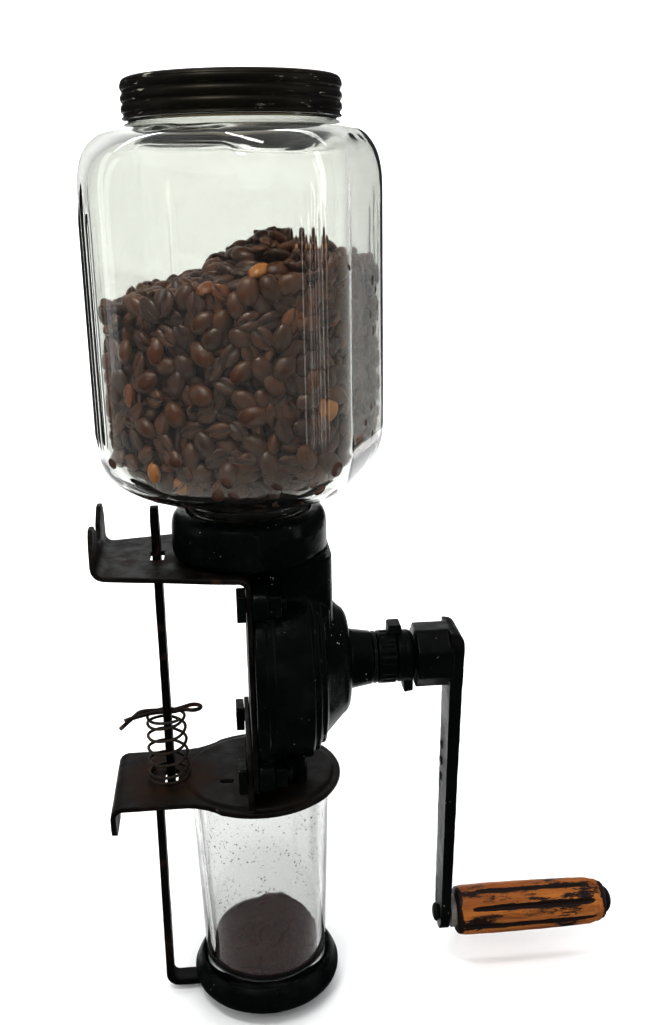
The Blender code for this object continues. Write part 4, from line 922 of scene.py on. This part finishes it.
D0 = 7.5
pts = []
for kz, z in enumerate(np.arange(147.0, 262.0, 6.1)):
    for ky, y in enumerate(np.arange(-63.0, 63.0, 6.5)):
        for x in np.arange(-63.0 + (ky % 2) * 3.7, 60.0, 7.5):
            q = np.array([x + (kz % 2) * 2.5, y + (kz % 3) * 1.5, z]) + rng.normal(0, 0.9, 3)
            half, corner = inner_limit(q[2], 2.0)
            d = math.hypot(q[0], q[1])
            lim = jar_r(half, corner, math.atan2(q[1], q[0]) - TURN)
            if d > lim or q[2] > top_of(q[0], q[1]) or q[2] < bottom_of(q[0], q[1]) + 1.0:
                continue
            depth = min(lim - d, top_of(q[0], q[1]) - q[2], q[2] - bottom_of(q[0], q[1]))
            if depth < 15.5:
                pts.append(q)
P = np.array(pts)
for step in range(10):
    d = P[:, None, :] - P[None, :, :]
    dist = np.sqrt((d ** 2).sum(-1)) + np.eye(len(P)) * 99
    push = np.clip(D0 - dist, 0, None)
    move = (d / dist[..., None] * push[..., None]).sum(1) * 0.32
    P = np.array(confine(P + np.clip(move, -2.2, 2.2)))
BV, BF, BS = bean_template()
nv = len(BV)
allv = np.empty((len(P) * nv, 3))
tint = np.empty(len(P) * nv)
slot_v = np.empty(len(P) * nv)
for i, q in enumerate(P):
    half, corner = inner_limit(q[2], 0.0)
    d = math.hypot(q[0], q[1])
    lim = jar_r(half, corner, math.atan2(q[1], q[0]) - TURN)
    radial = Vector((q[0], q[1], 0)).normalized()
    if q[2] < 168:
        radial = (radial + Vector((0, 0, -1.0)) * (168 - q[2]) / 20.0).normalized()
    rand = Vector(rng.normal(0, 1, 3)).normalized()
    gap = lim - d
    if gap < 6.5:
        nrm = (radial * (1 if rng.random() < 0.40 else -1) + rand * 0.30).normalized()
    elif top_of(q[0], q[1]) - q[2] < 6.5:
        nrm = (Vector((0, 0, 1 if rng.random() < 0.5 else -1)) + rand * 0.75 + Vector((0, 0.35 if rng.random() < 0.6 else -0.2, 0))).normalized()
    else:
        nrm = rand
    tang = Vector(rng.normal(0, 1, 3))
    tang = (tang - nrm * tang.dot(nrm)).normalized()
    side = nrm.cross(tang)
    s = rng.normal(1.0, 0.06)
    R = np.array([tang, side, nrm]).T * np.array([s * rng.normal(1, 0.04), s * rng.normal(1, 0.04), s * rng.normal(1.0, 0.06)])
    allv[i * nv:(i + 1) * nv] = BV @ R.T + q
    u = rng.random()
    tint[i * nv:(i + 1) * nv] = 0.92 if u > 0.975 else (0.62 if u > 0.93 else (0.38 if u > 0.78 else 0.10 + 0.2 * rng.random()))
    slot_v[i * nv:(i + 1) * nv] = BS
allv[:, 0] += AX
world_v = (allv + np.array([71.0, 0, -121.0])) * MM
F = np.array(BF)
faces = (F[None] + (np.arange(len(P)) * nv)[:, None, None]).reshape(-1, 4)
me = bpy.data.meshes.new("coffee_beans_loose")
me.from_pydata(world_v.tolist(), [], faces.tolist())
beans = add("coffee_beans_loose", me)
at1 = me.attributes.new("tint", "FLOAT", "POINT")
at1.data.foreach_set("value", tint.astype(np.float32))
at2 = me.attributes.new("slot", "FLOAT", "POINT")
at2.data.foreach_set("value", slot_v.astype(np.float32))
me.update()
me.shade_smooth()
m = Mat("bean_roast")
n1, n2 = m.noise(220, 5, 0.6), m.noise(900, 4, 0.65)
t = m.attr("tint")
col = m.mix(m.ramp(t, 0.05, 0.35), (0.042, 0.0135, 0.0062), (0.105, 0.036, 0.014))
col = m.mix(m.ramp(t, 0.36, 0.62), col, (0.20, 0.066, 0.020))
col = m.mix(m.ramp(t, 0.62, 0.92), col, (0.42, 0.175, 0.050))
col = m.mix(m.ramp(n1, 0.45, 0.75, 0, 0.55), col, m.mix(0.5, col, (0.02, 0.008, 0.005)))
crease_shade_and_chaff = m.attr("slot")
# painted shade: each bean's crease is darkened in the colour; the pale chaff along its middle is real
col = m.mix(m.ramp(crease_shade_and_chaff, 0.25, 0.75, 0, 0.95), col, (0.007, 0.0025, 0.0015))
chaff = m.op("MULTIPLY", m.ramp(crease_shade_and_chaff, 0.86, 0.97), m.ramp(n2, 0.5, 0.62))
col = m.mix(m.op("MULTIPLY", chaff, 0.7), col, (0.30, 0.19, 0.10))
b = m.bump(n1, 0.25, 0.0006)
b = m.bump(n2, 0.25, 0.00025, b)
m.set(base=col, rough=m.ramp(n1, 0.3, 0.7, 0.27, 0.45), normal=b, spec=0.6)
piece(beans, "jar", ["coffee_beans"], m.mat)

# a dark filler body in the middle of the pile, its colour painted shade, so that the gaps between the loose beans read
# dark
core = []
rows = [(16, 0, 127.0), (16, 0, 147.0), (23, 0, 153.0), (35, 4, 158.0), (43, 12, 163.0), (47.5, 14, 172.0), (49.0, 14, 200.0), (49.0, 14, 220.0), (42, 9, 224.0), (28, 3, 232.0), (12, 0, 238.0), (0.05, 0, 240.0)]
for half, corner, z in rows:
    core.append([W(AX + jar_r(half, corner, 2 * math.pi * k / 72) * math.cos(2 * math.pi * k / 72 + TURN), jar_r(half, corner, 2 * math.pi * k / 72) * math.sin(2 * math.pi * k / 72 + TURN), z) for k in range(72)])
core = loft("coffee_bean_core", core)
m = Mat("bean_core_painted_shade")
c = m.cells(130)
# painted shade: the filler is coloured darker than any bean, standing in for the shade deep inside the pile
m.set(base=m.mix(m.ramp(c, 0.1, 0.7), (0.020, 0.009, 0.006), (0.006, 0.003, 0.002)), rough=0.8, normal=m.bump(c, 0.8, 0.002))
piece(core, "jar", [], m.mat)

# ------------------------------------------------------------------ carried-over nodes
def carry(name, mat, bevel=0.25, angle=35):
    o = NODES[name]
    if len(o.material_slots):
        for s in o.material_slots:
            s.material = mat
    else:
        o.data.materials.append(mat)
    w = o.modifiers.new("weld", "WELD")
    w.merge_threshold = 1e-5
    if bevel:
        q = o.modifiers.new("edges", "BEVEL")
        q.width = bevel * MM
        q.segments = 2
        q.limit_method = "ANGLE"
        q.angle_limit = math.radians(angle)


for n in ("spindle", "rotating_burr", "fixed_burr", "burr_screw_front", "burr_screw_back", "grip_washer", "crank_set_screw", "tray_rivet_inner", "tray_rivet_outer"):
    carry(n, M_STEEL, 0.2)
carry("thrust_washer", M_NUT, 0.2)
carry("feed_worm", M_STEEL, 0)
carry("bearing_sleeve", M_BRONZE, 0.2)
m = Mat("liner_card")
f = m.noise(800, 4, 0.6)
m.set(base=m.mix(m.ramp(f, 0.35, 0.7), (0.50, 0.42, 0.30), (0.36, 0.29, 0.19)), rough=0.85, normal=m.bump(f, 0.3, 0.0003))
carry("lid_liner", m.mat, 0.2)

bpy.context.scene.view_settings.view_transform = "Standard"
bpy.context.scene.view_settings.gamma = 0.80
